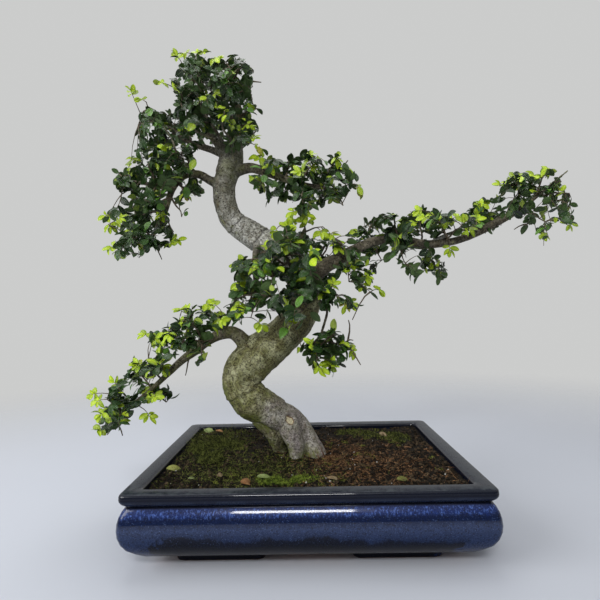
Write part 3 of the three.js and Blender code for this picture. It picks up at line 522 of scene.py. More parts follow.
@dataclass(frozen=True)
class Flow:
    """One output in a graph, and what can be made of it there."""

    graph: Graph
    socket: NodeSocket

    def math(self, operation: str, other: "Flow | float" = 0.0) -> "Flow":
        """Adds a math node that takes this output first."""
        return self.graph.add("Math", {0: self, 1: other}, operation=operation)

    def __add__(self, other: "Flow | float") -> "Flow":
        """Adds another output or a number."""
        return self.math("ADD", other)

    def __sub__(self, other: "Flow | float") -> "Flow":
        """Takes another output or a number off."""
        return self.math("SUBTRACT", other)

    def __mul__(self, other: "Flow | float") -> "Flow":
        """Multiplies by another output or a number."""
        return self.math("MULTIPLY", other)

    def rest(self) -> "Flow":
        """Gives what is left to 1."""
        return self.graph.add("Math", {0: 1.0, 1: self}, operation="SUBTRACT")

    def most(self, other: "Flow | float") -> "Flow":
        """Gives the larger of this and another."""
        return self.math("MAXIMUM", other)

    def split(self) -> list["Flow"]:
        """Splits coordinates into X, Y and Z."""
        node = self.graph.add("SeparateXYZ", {0: self}).socket.node
        return [Flow(self.graph, output) for output in node.outputs]

    def stretched(self, *scale: float) -> "Flow":
        """Stretches coordinates along their axes."""
        return self.graph.add("Mapping", {"Vector": self, "Scale": scale})

    def noise(self, scale: "Flow | float", detail: float = 4, roughness: float = 0.55,
              distortion: float = 0) -> "Flow":
        """Adds fractal noise from 0 to 1, with a scale in waves a metre."""
        return self.graph.add("TexNoise", {"Vector": self, "Scale": scale, "Detail": detail,
                                           "Roughness": roughness, "Distortion": distortion})

    def levels(self, low: float, high: float, start: float = 0, end: float = 1) -> "Flow":
        """Maps low to start and high to end smoothly, and holds them beyond."""
        sockets = {"Value": self, "From Min": low, "From Max": high, "To Min": start, "To Max": end}
        return self.graph.add("MapRange", sockets, interpolation_type="SMOOTHSTEP")

    def ramp(self, stops: Sequence[tuple[float, Colour]]) -> "Flow":
        """Maps values from 0 to 1 to colours at stops.

        Args:
            stops: Each stop's value and colour.

        Returns:
            The colour.
        """
        made = self.graph.add("ValToRGB", {0: self})
        elements = made.socket.node.color_ramp.elements
        for element, (at, colour) in zip(elements, (stops[0], stops[-1])):
            element.position = at
            element.color = (*colour, 1.0)
        for at, colour in stops[1:-1]:
            elements.new(at).color = (*colour, 1.0)
        return made

    def mix(self, first: "Flow | Colour", second: "Flow | Colour") -> "Flow":
        """Mixes two colours, with this much of the second."""
        return self.graph.add("Mix", {0: self, 6: first, 7: second}, 2, data_type="RGBA")

    def bump(self, distance: float, strength: float = 1.0, **more: "Flow") -> "Flow":
        """Turns a height from 0 to 1 into a bumped normal, with its depth in metres."""
        sockets = {"Height": self, "Distance": distance, "Strength": strength, **more}
        return self.graph.add("Bump", sockets)

    def through(self, effect: "Effect", *values: object) -> "Flow":
        """Sends coordinates and more values through a shared node group."""
        group = bpy.data.node_groups[effect.value]
        return self.graph.add("Group", dict(enumerate((self, *values))), node_tree=group)

    def specks(self, scale: float, size: float, share: float) -> "Flow":
        """Scatters round specks of a size in a share of the cells."""
        return self.through(Effect.SPECKS, scale, size, share)

    def mottle(self, scale: float, tones: Tones) -> "Flow":
        """Blends a dark, a middle and a light tone in blotches."""
        return self.through(Effect.MOTTLE, scale, *tones)

    def grain(self, scale: float, fine: float) -> "Flow":
        """Gives the height of a rough grain, with a share of finer grain."""
        return self.through(Effect.GRAIN, scale, fine)


class Surface(Graph):
    """A new material, with its nodes and its surface shader."""

    def __init__(self, name: str) -> None:
        """Makes the material."""
        self.material = bpy.data.materials.new(name)
        self.material.use_nodes = True
        super().__init__(self.material.node_tree)

    def finish(self, sockets: dict[str | int, object]) -> Material:
        """Feeds the surface shader, and gives the finished material."""
        self.feed(self.tree.nodes["Principled BSDF"], sockets)
        return self.material


class Effect(Enum):
    """Node groups that several materials share."""

    SPECKS = "Scattered specks"
    MOTTLE = "Mottled colour"
    GRAIN = "Rough grain"


class Effects:
    """Builds the shared node groups."""

    def build(self) -> None:
        """Builds each group once."""
        self._specks()
        self._mottle()
        self._grain()

    def _start(self, effect: Effect, result: tuple[str, str], **inputs: str) -> tuple[list[Flow], Node]:
        """Starts a group with its sockets.

        Args:
            effect: Which group.
            result: The name and kind of its output.
            **inputs: The kind of each input after the coordinates.

        Returns:
            What its inputs give, and the node that takes its output.
        """
        made = bpy.data.node_groups.new(effect.value, "ShaderNodeTree")
        for label, kind in {"Vector": "Vector", **inputs}.items():
            made.interface.new_socket(label, in_out="INPUT", socket_type="NodeSocket" + kind)
        made.interface.new_socket(result[0], in_out="OUTPUT", socket_type="NodeSocket" + result[1])
        graph = Graph(made)
        given = made.nodes.new("NodeGroupInput").outputs[:len(inputs) + 1]
        return [Flow(graph, output) for output in given], made.nodes.new("NodeGroupOutput")

    def _specks(self) -> None:
        """Makes a mask of scattered round specks, where only some cells hold one."""
        (vector, scale, size, share), end = self._start(
            Effect.SPECKS, ("Mask", "Float"), Scale="Float", Size="Float", Share="Float")
        cell = vector.graph.add("TexVoronoi", {"Vector": vector, "Scale": scale})
        cell_colour = Flow(vector.graph, cell.socket.node.outputs["Color"])
        chance = vector.graph.add("SeparateColor", {0: cell_colour})
        mask = cell.math("LESS_THAN", size) * chance.math("LESS_THAN", share)
        vector.graph.feed(end, {0: mask})

    def _mottle(self) -> None:
        """Blends three colours by two sizes of noise."""
        (vector, scale, dark, middle, light), end = self._start(
            Effect.MOTTLE, ("Color", "Color"), Scale="Float", Dark="Color", Middle="Color", Light="Color")
        broad = vector.noise(scale, 3)
        fine = vector.noise(scale * 5.3, 5, 0.65)
        low = fine.levels(0.36, 0.6).mix(dark, middle)
        mixed = broad.levels(0.42, 0.64).mix(low, light)
        vector.graph.feed(end, {0: fine.levels(0.62, 0.4, 0, 0.6).mix(mixed, low)})

    def _grain(self) -> None:
        """Adds two sizes of noise to one height."""
        (vector, scale, share), end = self._start(
            Effect.GRAIN, ("Height", "Float"), Scale="Float", Fine="Float")
        broad = vector.noise(scale, 6, 0.6)
        fine = vector.noise(scale * 6.0, 4, 0.7)
        vector.graph.feed(end, {0: broad + fine * share})


@dataclass(frozen=True)
class GlazeFinish:
    """Cobalt and navy glaze that streaks and speckles by height, over a pinkish clay, with reflections
    painted low on the belly.
    """

    pot_height: float = 78.0
    # The lowest bands are painted reflections: near-black up to 32 mm paints a dark reflection, and the slate
    # band from 35 to 45 mm paints a pale one.
    bands: tuple[tuple[float, Colour], ...] = (
        (0.0, (0.003, 0.003, 0.005)), (24.0, (0.003, 0.004, 0.008)), (32.0, (0.004, 0.007, 0.02)),
        (35.0, (0.016, 0.03, 0.085)), (45.0, (0.026, 0.046, 0.125)), (50.0, (0.004, 0.013, 0.055)),
        (55.0, (0.003, 0.01, 0.05)), (58.5, (0.006, 0.024, 0.14)), (62.5, (0.006, 0.02, 0.115)),
        (64.0, (0.002, 0.003, 0.008)), (66.4, (0.003, 0.005, 0.012)), (67.6, (0.02, 0.03, 0.06)),
        (70.6, (0.015, 0.024, 0.05)), (72.2, (0.002, 0.003, 0.01)), (75.6, (0.002, 0.004, 0.012)),
        (77.6, (0.01, 0.014, 0.024)),
    )
    ink: Colour = (0.006, 0.008, 0.02)
    streak: Colour = (0.08, 0.16, 0.5)
    fleck: Colour = (0.09, 0.14, 0.3)
    dust: Colour = (0.055, 0.065, 0.075)
    clay: Tones = ((0.22, 0.12, 0.085), (0.36, 0.21, 0.15), (0.46, 0.3, 0.22))
    clay_below: float = 12.3
    # slate_height is the level of the painted pale reflection that shows towards the pot's ends.
    slate_height: float = 41.0

    def material(self) -> Material:
        """Builds the pot's material.

        Returns:
            The material.
        """
        surface = Surface("Blue glaze")
        place = surface.place()
        x, _, z = place.split()
        height = z.math("DIVIDE", MM)
        facing_up = surface.add("NewGeometry", output="Normal").split()[2]
        fine = place.noise(1300, 3, 0.6)
        runs = place.stretched(1, 1, 0.25).noise(170, 6, 0.66, 0.5)
        sway = height.levels(64, 54, 0.6, 13) * (runs - 0.5)
        sway = sway + place.noise(16, 2).levels(0.3, 0.7, -6, 6) * height.levels(48, 38)
        ragged = place.noise(26, 4, 0.7).levels(0.3, 0.7, -0.02, 0.02)
        off_middle = (x - POT_MIDDLE_X).math("ABSOLUTE") + ragged
        # Towards the ends the level is held at the slate band, which paints a pale reflection there instead
        # of the dark one.
        painted_reflection_ends = off_middle.levels(0.112, 0.15, 0, self.slate_height)
        level = (height + sway).most(painted_reflection_ends).math("DIVIDE", self.pot_height)
        colour = level.ramp([(at / self.pot_height, tone) for at, tone in self.bands])
        belly = height.levels(24, 36) * height.levels(66, 58)
        clouds = place.noise(260, 3, 0.6).levels(0.4, 0.62, 0.2, 0.75)
        pale = place.specks(780, 0.34, 0.5) * fine.levels(0.35, 0.6)
        colour = (pale * (belly * clouds)).mix(colour, self.fleck)
        colour = (place.specks(430, 0.33, 0.5) * 0.7).mix(colour, self.ink)
        colour = fine.levels(0.62, 0.4, 0, 0.45).mix(colour, self.ink)
        drips = place.stretched(1, 1, 0.3).noise(560, 4, 0.7).levels(0.5, 0.64, 0, 0.75)
        under_lip = height.levels(54, 58) * height.levels(63.5, 62)
        colour = (under_lip * drips).mix(colour, self.streak)
        lip = height.levels(66.4, 67.6) * height.levels(72.2, 71)
        worn = place.noise(60, 4, 0.6).levels(0.38, 0.62, 0, 0.65)
        colour = (lip * worn).mix(colour, self.ink)
        rim = height.levels(76.8, 77.6) * facing_up.levels(0.75, 0.95)
        dusty = place.noise(150, 5, 0.7).levels(0.42, 0.66, 0.1, 0.85)
        colour = (rim * dusty).mix(colour, self.dust)
        bare = facing_up.levels(-0.75, -0.9) * height.math("LESS_THAN", self.clay_below)
        bare = bare.most(height.levels(0.9, 0.4))
        veiled = (rim * 0.55).most(height.levels(75.5, 73, 0, 0.75)) * height.levels(64, 66)
        gloss = fine.levels(0.3, 0.7, 0.2, 0.32) + rim * (dusty * 0.35)
        wobble = place.noise(34, 2, 0.5).bump(0.0012, 0.5)
        return surface.finish({
            "Base Color": bare.mix(colour, place.mottle(160, self.clay)),
            "Roughness": gloss + bare * 0.55,
            "Specular IOR Level": 0.1,
            "Coat Weight": height.levels(30, 50, 0.04, 0.9) * bare.most(veiled).rest(),
            "Coat Roughness": 0.05,
            "Coat IOR": 1.45,
            "Normal": place.noise(520, 3, 0.5).bump(0.0001, 0.5, Normal=wobble),
        })


@dataclass(frozen=True)
class BarkFinish:
    """Bark that goes from grey above, through olive and moss green, to lavender-grey roots, with shade
    painted darker on the top of the trunk.
    """

    olive: Tones = ((0.085, 0.068, 0.028), (0.31, 0.3, 0.13), (0.62, 0.62, 0.38))
    grey: Tones = ((0.26, 0.25, 0.2), (0.66, 0.65, 0.58), (0.93, 0.92, 0.87))
    # The upper tones paint the crown's shade on the top of the trunk, darker than the grey below it.
    upper: Tones = ((0.1, 0.095, 0.065), (0.26, 0.255, 0.2), (0.46, 0.455, 0.39))
    root: Tones = ((0.13, 0.11, 0.1), (0.43, 0.385, 0.37), (0.78, 0.74, 0.71))
    limb: Tones = ((0.045, 0.038, 0.025), (0.13, 0.113, 0.078), (0.28, 0.25, 0.18))
    moss: Colour = (0.17, 0.2, 0.035)
    lichen: Colour = (0.36, 0.38, 0.14)
    rust: Colour = (0.2, 0.14, 0.07)
    pit: Colour = (0.028, 0.022, 0.014)
    fleck: Colour = (0.09, 0.075, 0.05)
    crack: Colour = (0.5, 0.46, 0.44)
    fibre: Colour = (0.2, 0.1, 0.05)
    heartwood: Colour = (0.85, 0.76, 0.5)
    scar_rim: Colour = (0.2, 0.12, 0.06)
    blotches: float = 75

    def material(self) -> Material:
        """Builds the bark's material, which reads the wood's own attributes.

        Returns:
            The material.
        """
        surface = Surface("Bark")
        place = surface.attribute("straightened", "Vector")
        colour = place.mottle(self.blotches, self.olive)
        zones = {"grey": self.grey, "upper": self.upper, "root": self.root, "limb": self.limb}
        for zone, tones in zones.items():
            colour = surface.attribute(zone).mix(colour, place.mottle(self.blotches, tones))
        fine = place.noise(900, 4, 0.65)
        green = surface.attribute("mossy") * place.noise(60, 5, 0.65).levels(0.36, 0.6)
        colour = green.mix(colour, self.moss)
        colour = place.noise(95, 5, 0.7).levels(0.54, 0.68, 0, 0.5).mix(colour, self.rust)
        spots = place.noise(110, 4, 0.6).levels(0.6, 0.7, 0, 0.6) * surface.attribute("grey")
        colour = spots.mix(colour, self.lichen)
        colour = place.noise(420, 3, 0.6).levels(0.5, 0.64, 0, 0.5).mix(colour, self.fleck)
        lenticels = place.stretched(1, 1, 2.6).specks(215, 0.36, 0.34)
        patchy = place.noise(32, 3).levels(0.4, 0.62, 0.35, 1)
        patchy = patchy * surface.attribute("root").levels(0, 1, 1, 0.4)
        dark = (lenticels * patchy).most(place.specks(430, 0.36, 0.5) * 0.7) * fine.levels(0.25, 0.45)
        colour = dark.mix(colour, self.pit)
        lengthways = place.stretched(1, 1, 0.16).noise(240, 4, 0.6, 0.6)
        crack = (lengthways - 0.5).math("ABSOLUTE").levels(0.022, 0.0)
        crack = crack * (surface.attribute("root") + 0.15)
        colour = (crack * 0.35).mix(colour, self.crack)
        threads = place.stretched(1, 1, 0.1).noise(420, 3, 0.6, 1.2).levels(0.5, 0.6)
        colour = (threads * surface.attribute("fibrous")).mix(colour, self.fibre)
        # hollow darkens the bark in the sunken pits, the knot middles and the ring creases.
        colour = (surface.attribute("hollow") * 0.85).mix(colour, self.pit)
        scar = surface.attribute("scar")
        colour = scar.levels(0.05, 0.4).mix(colour, self.scar_rim)
        worn = fine.levels(0.4, 0.6).mix(self.heartwood, tuple(0.6 * c for c in self.heartwood))
        height = place.grain(260, 0.5) - dark * 0.45 - crack * 0.25
        return surface.finish({
            "Base Color": scar.levels(0.5, 0.8).mix(colour, worn),
            "Roughness": fine.levels(0.3, 0.7, 0.6, 0.88),
            "Specular IOR Level": 0.3,
            "Normal": height.bump(0.0018, 0.9),
        })


@dataclass(frozen=True)
class TwigFinish:
    """Thin brown twigs, paler in blotches."""

    brown: Tones = ((0.045, 0.032, 0.02), (0.12, 0.09, 0.055), (0.22, 0.175, 0.115))

    def material(self) -> Material:
        """Builds the twigs' material.

        Returns:
            The material.
        """
        surface = Surface("Twig bark")
        place = surface.place()
        return surface.finish({
            "Base Color": place.mottle(120, self.brown),
            "Roughness": place.noise(500).levels(0.3, 0.7, 0.6, 0.85),
            "Normal": place.grain(500, 0.4).bump(0.0004),
        })


@dataclass(frozen=True)
class LeafFinish:
    """Glossy leaves from dark green to lime, duller and paler underneath, with fine veins."""

    deep: Colour = (0.0025, 0.01, 0.005)
    green: Colour = (0.034, 0.094, 0.016)
    # bright is a paler green, partly the leaves' own colour and partly painted light shining through them.
    bright: Colour = (0.12, 0.29, 0.03)
    lime: Colour = (0.6, 0.8, 0.025)
    lime_edge: Colour = (0.34, 0.56, 0.02)
    coppery: Colour = (0.5, 0.48, 0.06)
    underside: Colour = (0.07, 0.13, 0.03)
    young_underside: Colour = (0.4, 0.52, 0.09)
    vein: Colour = (0.12, 0.2, 0.05)
    young_vein: Colour = (0.6, 0.68, 0.2)
    rim: Colour = (0.12, 0.13, 0.03)
    side_veins: float = 10.0

    def material(self) -> Material:
        """Builds the leaves' material, which reads each leaf's own tone and age.

        Returns:
            The material.
        """
        surface = Surface("Elm leaf")
        cloud = surface.place().noise(260, 3)
        across, along, _ = surface.add("UVMap", uv_map="blade").split()
        off_middle = (across - 0.5).math("ABSOLUTE")
        own_tone = surface.attribute("tone")
        young = surface.attribute("young")
        under = surface.attribute("underside")
        colour = (own_tone + cloud * 0.3).levels(0.2, 1.0).mix(self.deep, self.green)
        # Leaves of the highest tones take the bright green, partly their own paler green and partly painted
        # light shining through them.
        colour = own_tone.levels(0.78, 0.9).mix(colour, self.bright)
        lime = off_middle.levels(0.1, 0.5).mix(self.lime, self.lime_edge)
        lime = own_tone.levels(0.86, 0.94).mix(lime, self.coppery)
        colour = young.mix(colour, lime)
        below = young.mix(self.underside, self.young_underside)
        colour = (under * 0.75).mix(colour, below)
        slanted = along - off_middle * 0.3
        wave = (slanted * (self.side_veins * 2 * math.pi)).math("SINE")
        veins = off_middle.levels(0.06, 0.015).most(wave.levels(0.84, 1.0) * 0.4)
        colour = (veins * 0.4).mix(colour, young.mix(self.vein, self.young_vein))
        return surface.finish({
            "Base Color": (off_middle.levels(0.44, 0.5) * 0.25).mix(colour, self.rim),
            "Roughness": cloud.levels(0.3, 0.7, 0.16, 0.32) + under * 0.3,
            "Specular IOR Level": 0.5,
            "Normal": (wave * 0.5 - veins).bump(0.00025, 0.7),
        })


@dataclass(frozen=True)
class EarthFinish:
    """A crumbly material whose crumbs differ in tone, with shade painted dark in the gaps between them."""

    name: str
    dark: Colour
    middle: Colour
    light: Colour
    scale: float = 130.0
    relief: float = 0.0014
    roughness: float = 0.9
    # gaps and gap set the strength and the colour of the shade painted between the crumbs.
    gaps: float = 0.88
    gap: Colour = (0.002, 0.002, 0.001)

    def material(self) -> Material:
        """Builds the material, which also reads each crumb's tone.

        Returns:
            The material.
        """
        surface = Surface(self.name)
        place = surface.place()
        mottle = place.mottle(self.scale, (self.dark, self.middle, self.light))
        colour = surface.attribute("tone").levels(0, 1, 0, 0.8).mix(mottle, self.light)
        # Near-black patches paint the shade in the gaps between crumbs.
        painted_gap_shade = place.noise(self.scale * 2.2, 3, 0.55).levels(0.53, 0.43, 0, self.gaps)
        shine = place.noise(self.scale * 4)
        return surface.finish({
            "Base Color": painted_gap_shade.mix(colour, self.gap),
            "Roughness": shine.levels(0.3, 0.7, self.roughness - 0.2, self.roughness),
            "Specular IOR Level": 0.15,
            "Normal": place.grain(self.scale * 3, 0.6).bump(self.relief),
        })


# Finishes with their dark, middle and light tones.
SOIL_FINISH = EarthFinish("Damp soil", (0.005, 0.0035, 0.0025), (0.014, 0.01, 0.006), (0.04, 0.028, 0.016))
CRUMB_FINISH = EarthFinish("Soil crumbs", (0.006, 0.004, 0.0025), (0.022, 0.015, 0.009), (0.12, 0.085, 0.05))
CHIP_FINISH = EarthFinish("Bark chips", (0.035, 0.014, 0.008), (0.1, 0.046, 0.022), (0.3, 0.17, 0.09))
FIBRE_FINISH = EarthFinish("Brown fibres", (0.025, 0.01, 0.004), (0.1, 0.04, 0.016), (0.42, 0.23, 0.11))
MOSS_BED_FINISH = EarthFinish("Moss bed", (0.005, 0.006, 0.002), (0.016, 0.019, 0.005), (0.05, 0.06, 0.012))
MOSS_FINISH = EarthFinish("Green moss", (0.03, 0.06, 0.008), (0.11, 0.19, 0.02), (0.32, 0.42, 0.06), gaps=0.7)
SPROUT_FINISH = EarthFinish("Yellow-green moss", (0.03, 0.04, 0.006), (0.12, 0.15, 0.02), (0.38, 0.42, 0.08))
STRAND_FINISH = EarthFinish("Olive strands", (0.006, 0.008, 0.002), (0.032, 0.04, 0.008), (0.26, 0.3, 0.07))
WHOLE: dict[str, float] = {"scale": 200, "relief": 0.0004, "roughness": 0.6, "gaps": 0.0}
GRIT_FINISH = EarthFinish("White grit", (0.4, 0.38, 0.35), (0.6, 0.58, 0.54), (0.75, 0.73, 0.7), gaps=0.0)
YELLOW_LEAF = EarthFinish("Yellow leaf", (0.17, 0.17, 0.035), (0.28, 0.29, 0.07), (0.4, 0.42, 0.14), **WHOLE)
BROWN_LEAF = EarthFinish("Brown leaf", (0.16, 0.07, 0.03), (0.36, 0.17, 0.07), (0.5, 0.28, 0.13), **WHOLE)
OLIVE_LEAF = EarthFinish("Olive leaf", (0.07, 0.075, 0.018), (0.15, 0.16, 0.035), (0.26, 0.26, 0.08), **WHOLE)
LIGHT_LEAF = EarthFinish("Light leaf", (0.12, 0.17, 0.045), (0.22, 0.28, 0.09), (0.36, 0.42, 0.18), **WHOLE)
BEIGE_LEAF = EarthFinish("Beige leaf", (0.16, 0.11, 0.055), (0.3, 0.22, 0.12), (0.45, 0.36, 0.22), **WHOLE)
SCREEN_FINISH = EarthFinish("Black mesh", (0.008, 0.009, 0.01), (0.016, 0.018, 0.02), (0.03, 0.032, 0.035),
                            300, 0.0002, 0.6, 0.0)


@dataclass(frozen=True)
class WireFinish:
    """Drawn aluminium wire with fine lengthways scratches."""

    bright: Colour = (0.72, 0.72, 0.7)
    dull: Colour = (0.45, 0.45, 0.44)

    def material(self) -> Material:
        """Builds the wire's material.

        Returns:
            The material.
        """
        surface = Surface("Drawn wire")
        scratch = surface.place().stretched(0.1, 1, 1).noise(3000, 3)
        return surface.finish({
            "Base Color": scratch.levels(0.3, 0.7).mix(self.dull, self.bright),
            "Metallic": 1.0,
            "Roughness": scratch.levels(0.3, 0.7, 0.45, 0.28),
            "Normal": surface.place().grain(900, 0.3).bump(0.00005),
        })


def choose(*objects: Object) -> None:
    """Selects only these objects, and makes the first one active."""
    bpy.ops.object.select_all(action="DESELECT")
    for one in objects:
        one.select_set(True)
    bpy.context.view_layer.objects.active = objects[0]


def primitive(kind: str, **sizes: object) -> Object:
    """Adds a primitive mesh while nothing else is selected."""
    bpy.ops.object.select_all(action="DESELECT")
    getattr(bpy.ops.mesh, f"primitive_{kind}_add")(**sizes)
    return bpy.context.view_layer.objects.active


def in_scene(name: str, data: bpy.types.ID) -> Object:
    """Makes an object of a mesh, curve, camera or light."""
    made = bpy.data.objects.new(name, data)
    bpy.context.scene.collection.objects.link(made)
    return made


def mesh_object(name: str, places: np.ndarray, faces: Sequence[Sequence[int]]) -> Object:
    """Makes an object of a mesh.

    Args:
        name: The object's name.
        places: The vertices, in millimetres.
        faces: The vertices of each face, counter-clockwise from outside.

    Returns:
        The new object.
    """
    mesh = bpy.data.meshes.new(name)
    mesh.from_pydata(in_frame(places).tolist(), [], faces)
    mesh.update()
    return in_scene(name, mesh)


def copied(faces: Sequence[Sequence[int]], count: int, step: int) -> list[tuple[int, ...]]:
    """Repeats faces for copies whose vertices follow each other in steps."""
    return [tuple(step * k + i for i in face) for k in range(count) for face in faces]


def apply_modifier(piece: Object, kind: str, **settings: object) -> None:
    """Adds a modifier to a piece, sets it and applies it."""
    choose(piece)
    modifier = piece.modifiers.new(kind.title(), kind)
    for name, value in settings.items():
        setattr(modifier, name, value)
    bpy.ops.object.modifier_apply(modifier=modifier.name)


def settle(piece: Object) -> None:
    """Puts a piece's place, turn and size into its mesh."""
    choose(piece)
    bpy.ops.object.transform_apply(location=True, rotation=True, scale=True)


def vertices_of(piece: Object, what: str = "vertices", value: str = "co") -> np.ndarray:
    """Reads a piece's vertices.

    Args:
        piece: The object.
        what: The data to read, vertices or vertex_normals.
        value: The value to read there.

    Returns:
        One row for each vertex.
    """
    data = getattr(piece.data, what)
    flat = np.zeros(len(data) * 3, np.float32)
    data.foreach_get(value, flat)
    return flat.reshape(-1, 3).astype(float)


def move_vertices(piece: Object, places: np.ndarray) -> None:
    """Sets the places of a piece's vertices."""
    piece.data.vertices.foreach_set("co", np.asarray(places, np.float32).ravel())
    piece.data.update()


def write_attribute(piece: Object, name: str, values: np.ndarray, domain: str = "POINT") -> None:
    """Stores a number or a vector for each vertex or face, for a piece's material.

    Args:
        piece: The object.
        name: The attribute's name.
        values: One row for each vertex or face.
        domain: POINT or FACE.
    """
    kind, key = ("FLOAT", "value") if values.ndim == 1 else ("FLOAT_VECTOR", "vector")
    attribute = piece.data.attributes.new(name, kind, domain)
    attribute.data.foreach_set(key, values.astype(np.float32).ravel())


def smooth(piece: Object, sharp_above: float | None = None) -> None:
    """Shades a piece smoothly, apart from edges above an angle in degrees if one is given."""
    choose(piece)
    if sharp_above is None:
        bpy.ops.object.shade_smooth()
    else:
        bpy.ops.object.shade_smooth_by_angle(angle=math.radians(sharp_above))


def dress(piece: Object, material: Material) -> None:
    """Gives a piece its material in place of any other."""
    piece.data.materials.clear()
    piece.data.materials.append(material)


def hand_over(piece: Object, slot: Slot, *nodes: str) -> None:
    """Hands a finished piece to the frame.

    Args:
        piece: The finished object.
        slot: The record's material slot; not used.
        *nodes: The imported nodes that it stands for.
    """
    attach(piece, "root")
    if nodes:
        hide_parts(*nodes)
    piece.data.calc_loop_triangles()
    log.info("%s: %d triangles", piece.name, len(piece.data.loop_triangles))


def tubes_object(name: str, routes: Sequence[np.ndarray], roundness: int) -> Object:
    """Makes closed round tubes along several routes.

    Args:
        name: The object's name.
        routes: Rows of x, y, z and radius for each tube, in millimetres.
        roundness: Blender's bevel resolution, which sets the number of sides.

    Returns:
        One mesh object that holds all the tubes.
    """
    curve = bpy.data.curves.new(name, "CURVE")
    curve.dimensions = "3D"
    curve.bevel_depth = MM
    curve.bevel_resolution = roundness
    curve.use_fill_caps = True
    for route in routes:
        spline = curve.splines.new("POLY")
        spline.points.add(len(route) - 1)
        places = np.hstack([in_frame(route), np.ones((len(route), 1))])
        spline.points.foreach_set("co", places.astype(np.float32).ravel())
        spline.points.foreach_set("radius", route[:, 3].astype(np.float32))
    choose(in_scene(name, curve))
    bpy.ops.object.convert(target="MESH")
    return bpy.context.view_layer.objects.active


def noise_field(places: np.ndarray, size: float, octaves: int, seed: int = 7) -> np.ndarray:
    """Gives smooth repeatable noise from about -1 to 1.

    Args:
        places: Where it is wanted.
        size: The width of its broadest waves, in the units of the places.
        octaves: How many finer layers it has, each half as strong.
        seed: Which noise it is.

    Returns:
        One value for each place.
    """
    random_source = np.random.default_rng(seed)
    table = random_source.random(4096) * 2 - 1
    total, weight, sum_weights = np.zeros(len(places)), 1.0, 0.0
    for octave in range(octaves):
        scaled = places / size * 2 ** octave + 37.3 * octave
        cell = np.floor(scaled).astype(np.int64)
        inside = scaled - cell
        blend = inside * inside * (3 - 2 * inside)
        layer = np.zeros(len(places))
        for corner in np.ndindex(2, 2, 2):
            at = cell + corner
            key = (at[:, 0] * 73856093 ^ at[:, 1] * 19349663 ^ at[:, 2] * 83492791) & 4095
            share = np.prod(np.where(np.array(corner) == 1, blend, 1 - blend), axis=1)
            layer += table[key] * share
        total += layer * weight
        sum_weights += weight
        weight *= 0.5
    return total / sum_weights * 1.6


@dataclass(frozen=True)
class Mark:
    """A place on the bark where it is raised, sunk or darkened."""

    place: Point
    reach: float
    rise: float = 0.0
    darkening: float = 0.0


@dataclass(frozen=True)
class Ring:
    """A crease that runs round the trunk."""

    place: Point
    width: float
    depth: float
    darkening: float


@dataclass
class Skin:
    """The wood's surface while it is carved, with a row for each vertex, in millimetres."""

    places: np.ndarray
    normals: np.ndarray
    owner: np.ndarray
    straight: np.ndarray
    radius: np.ndarray

    def __post_init__(self) -> None:
        """Works out the place round the limb, and the noise that the bark and its colours share."""
        self.along = self.straight[:, 2]
        self.angle = np.arctan2(self.straight[:, 1], self.straight[:, 0])
        self.lumps = noise_field(self.places, 26, 3)
        self.ripples = noise_field(self.straight * (1, 1, 0.6), 8, 3)
        self.rise = self.hollow = self.scar = np.zeros(len(self.places))

    def of(self, *kinds: Wood) -> np.ndarray:
        """Tells which vertices are of these kinds of wood."""
        return np.isin(self.owner, [i for i, one in enumerate(LIMBS.values()) if one.wood in kinds])


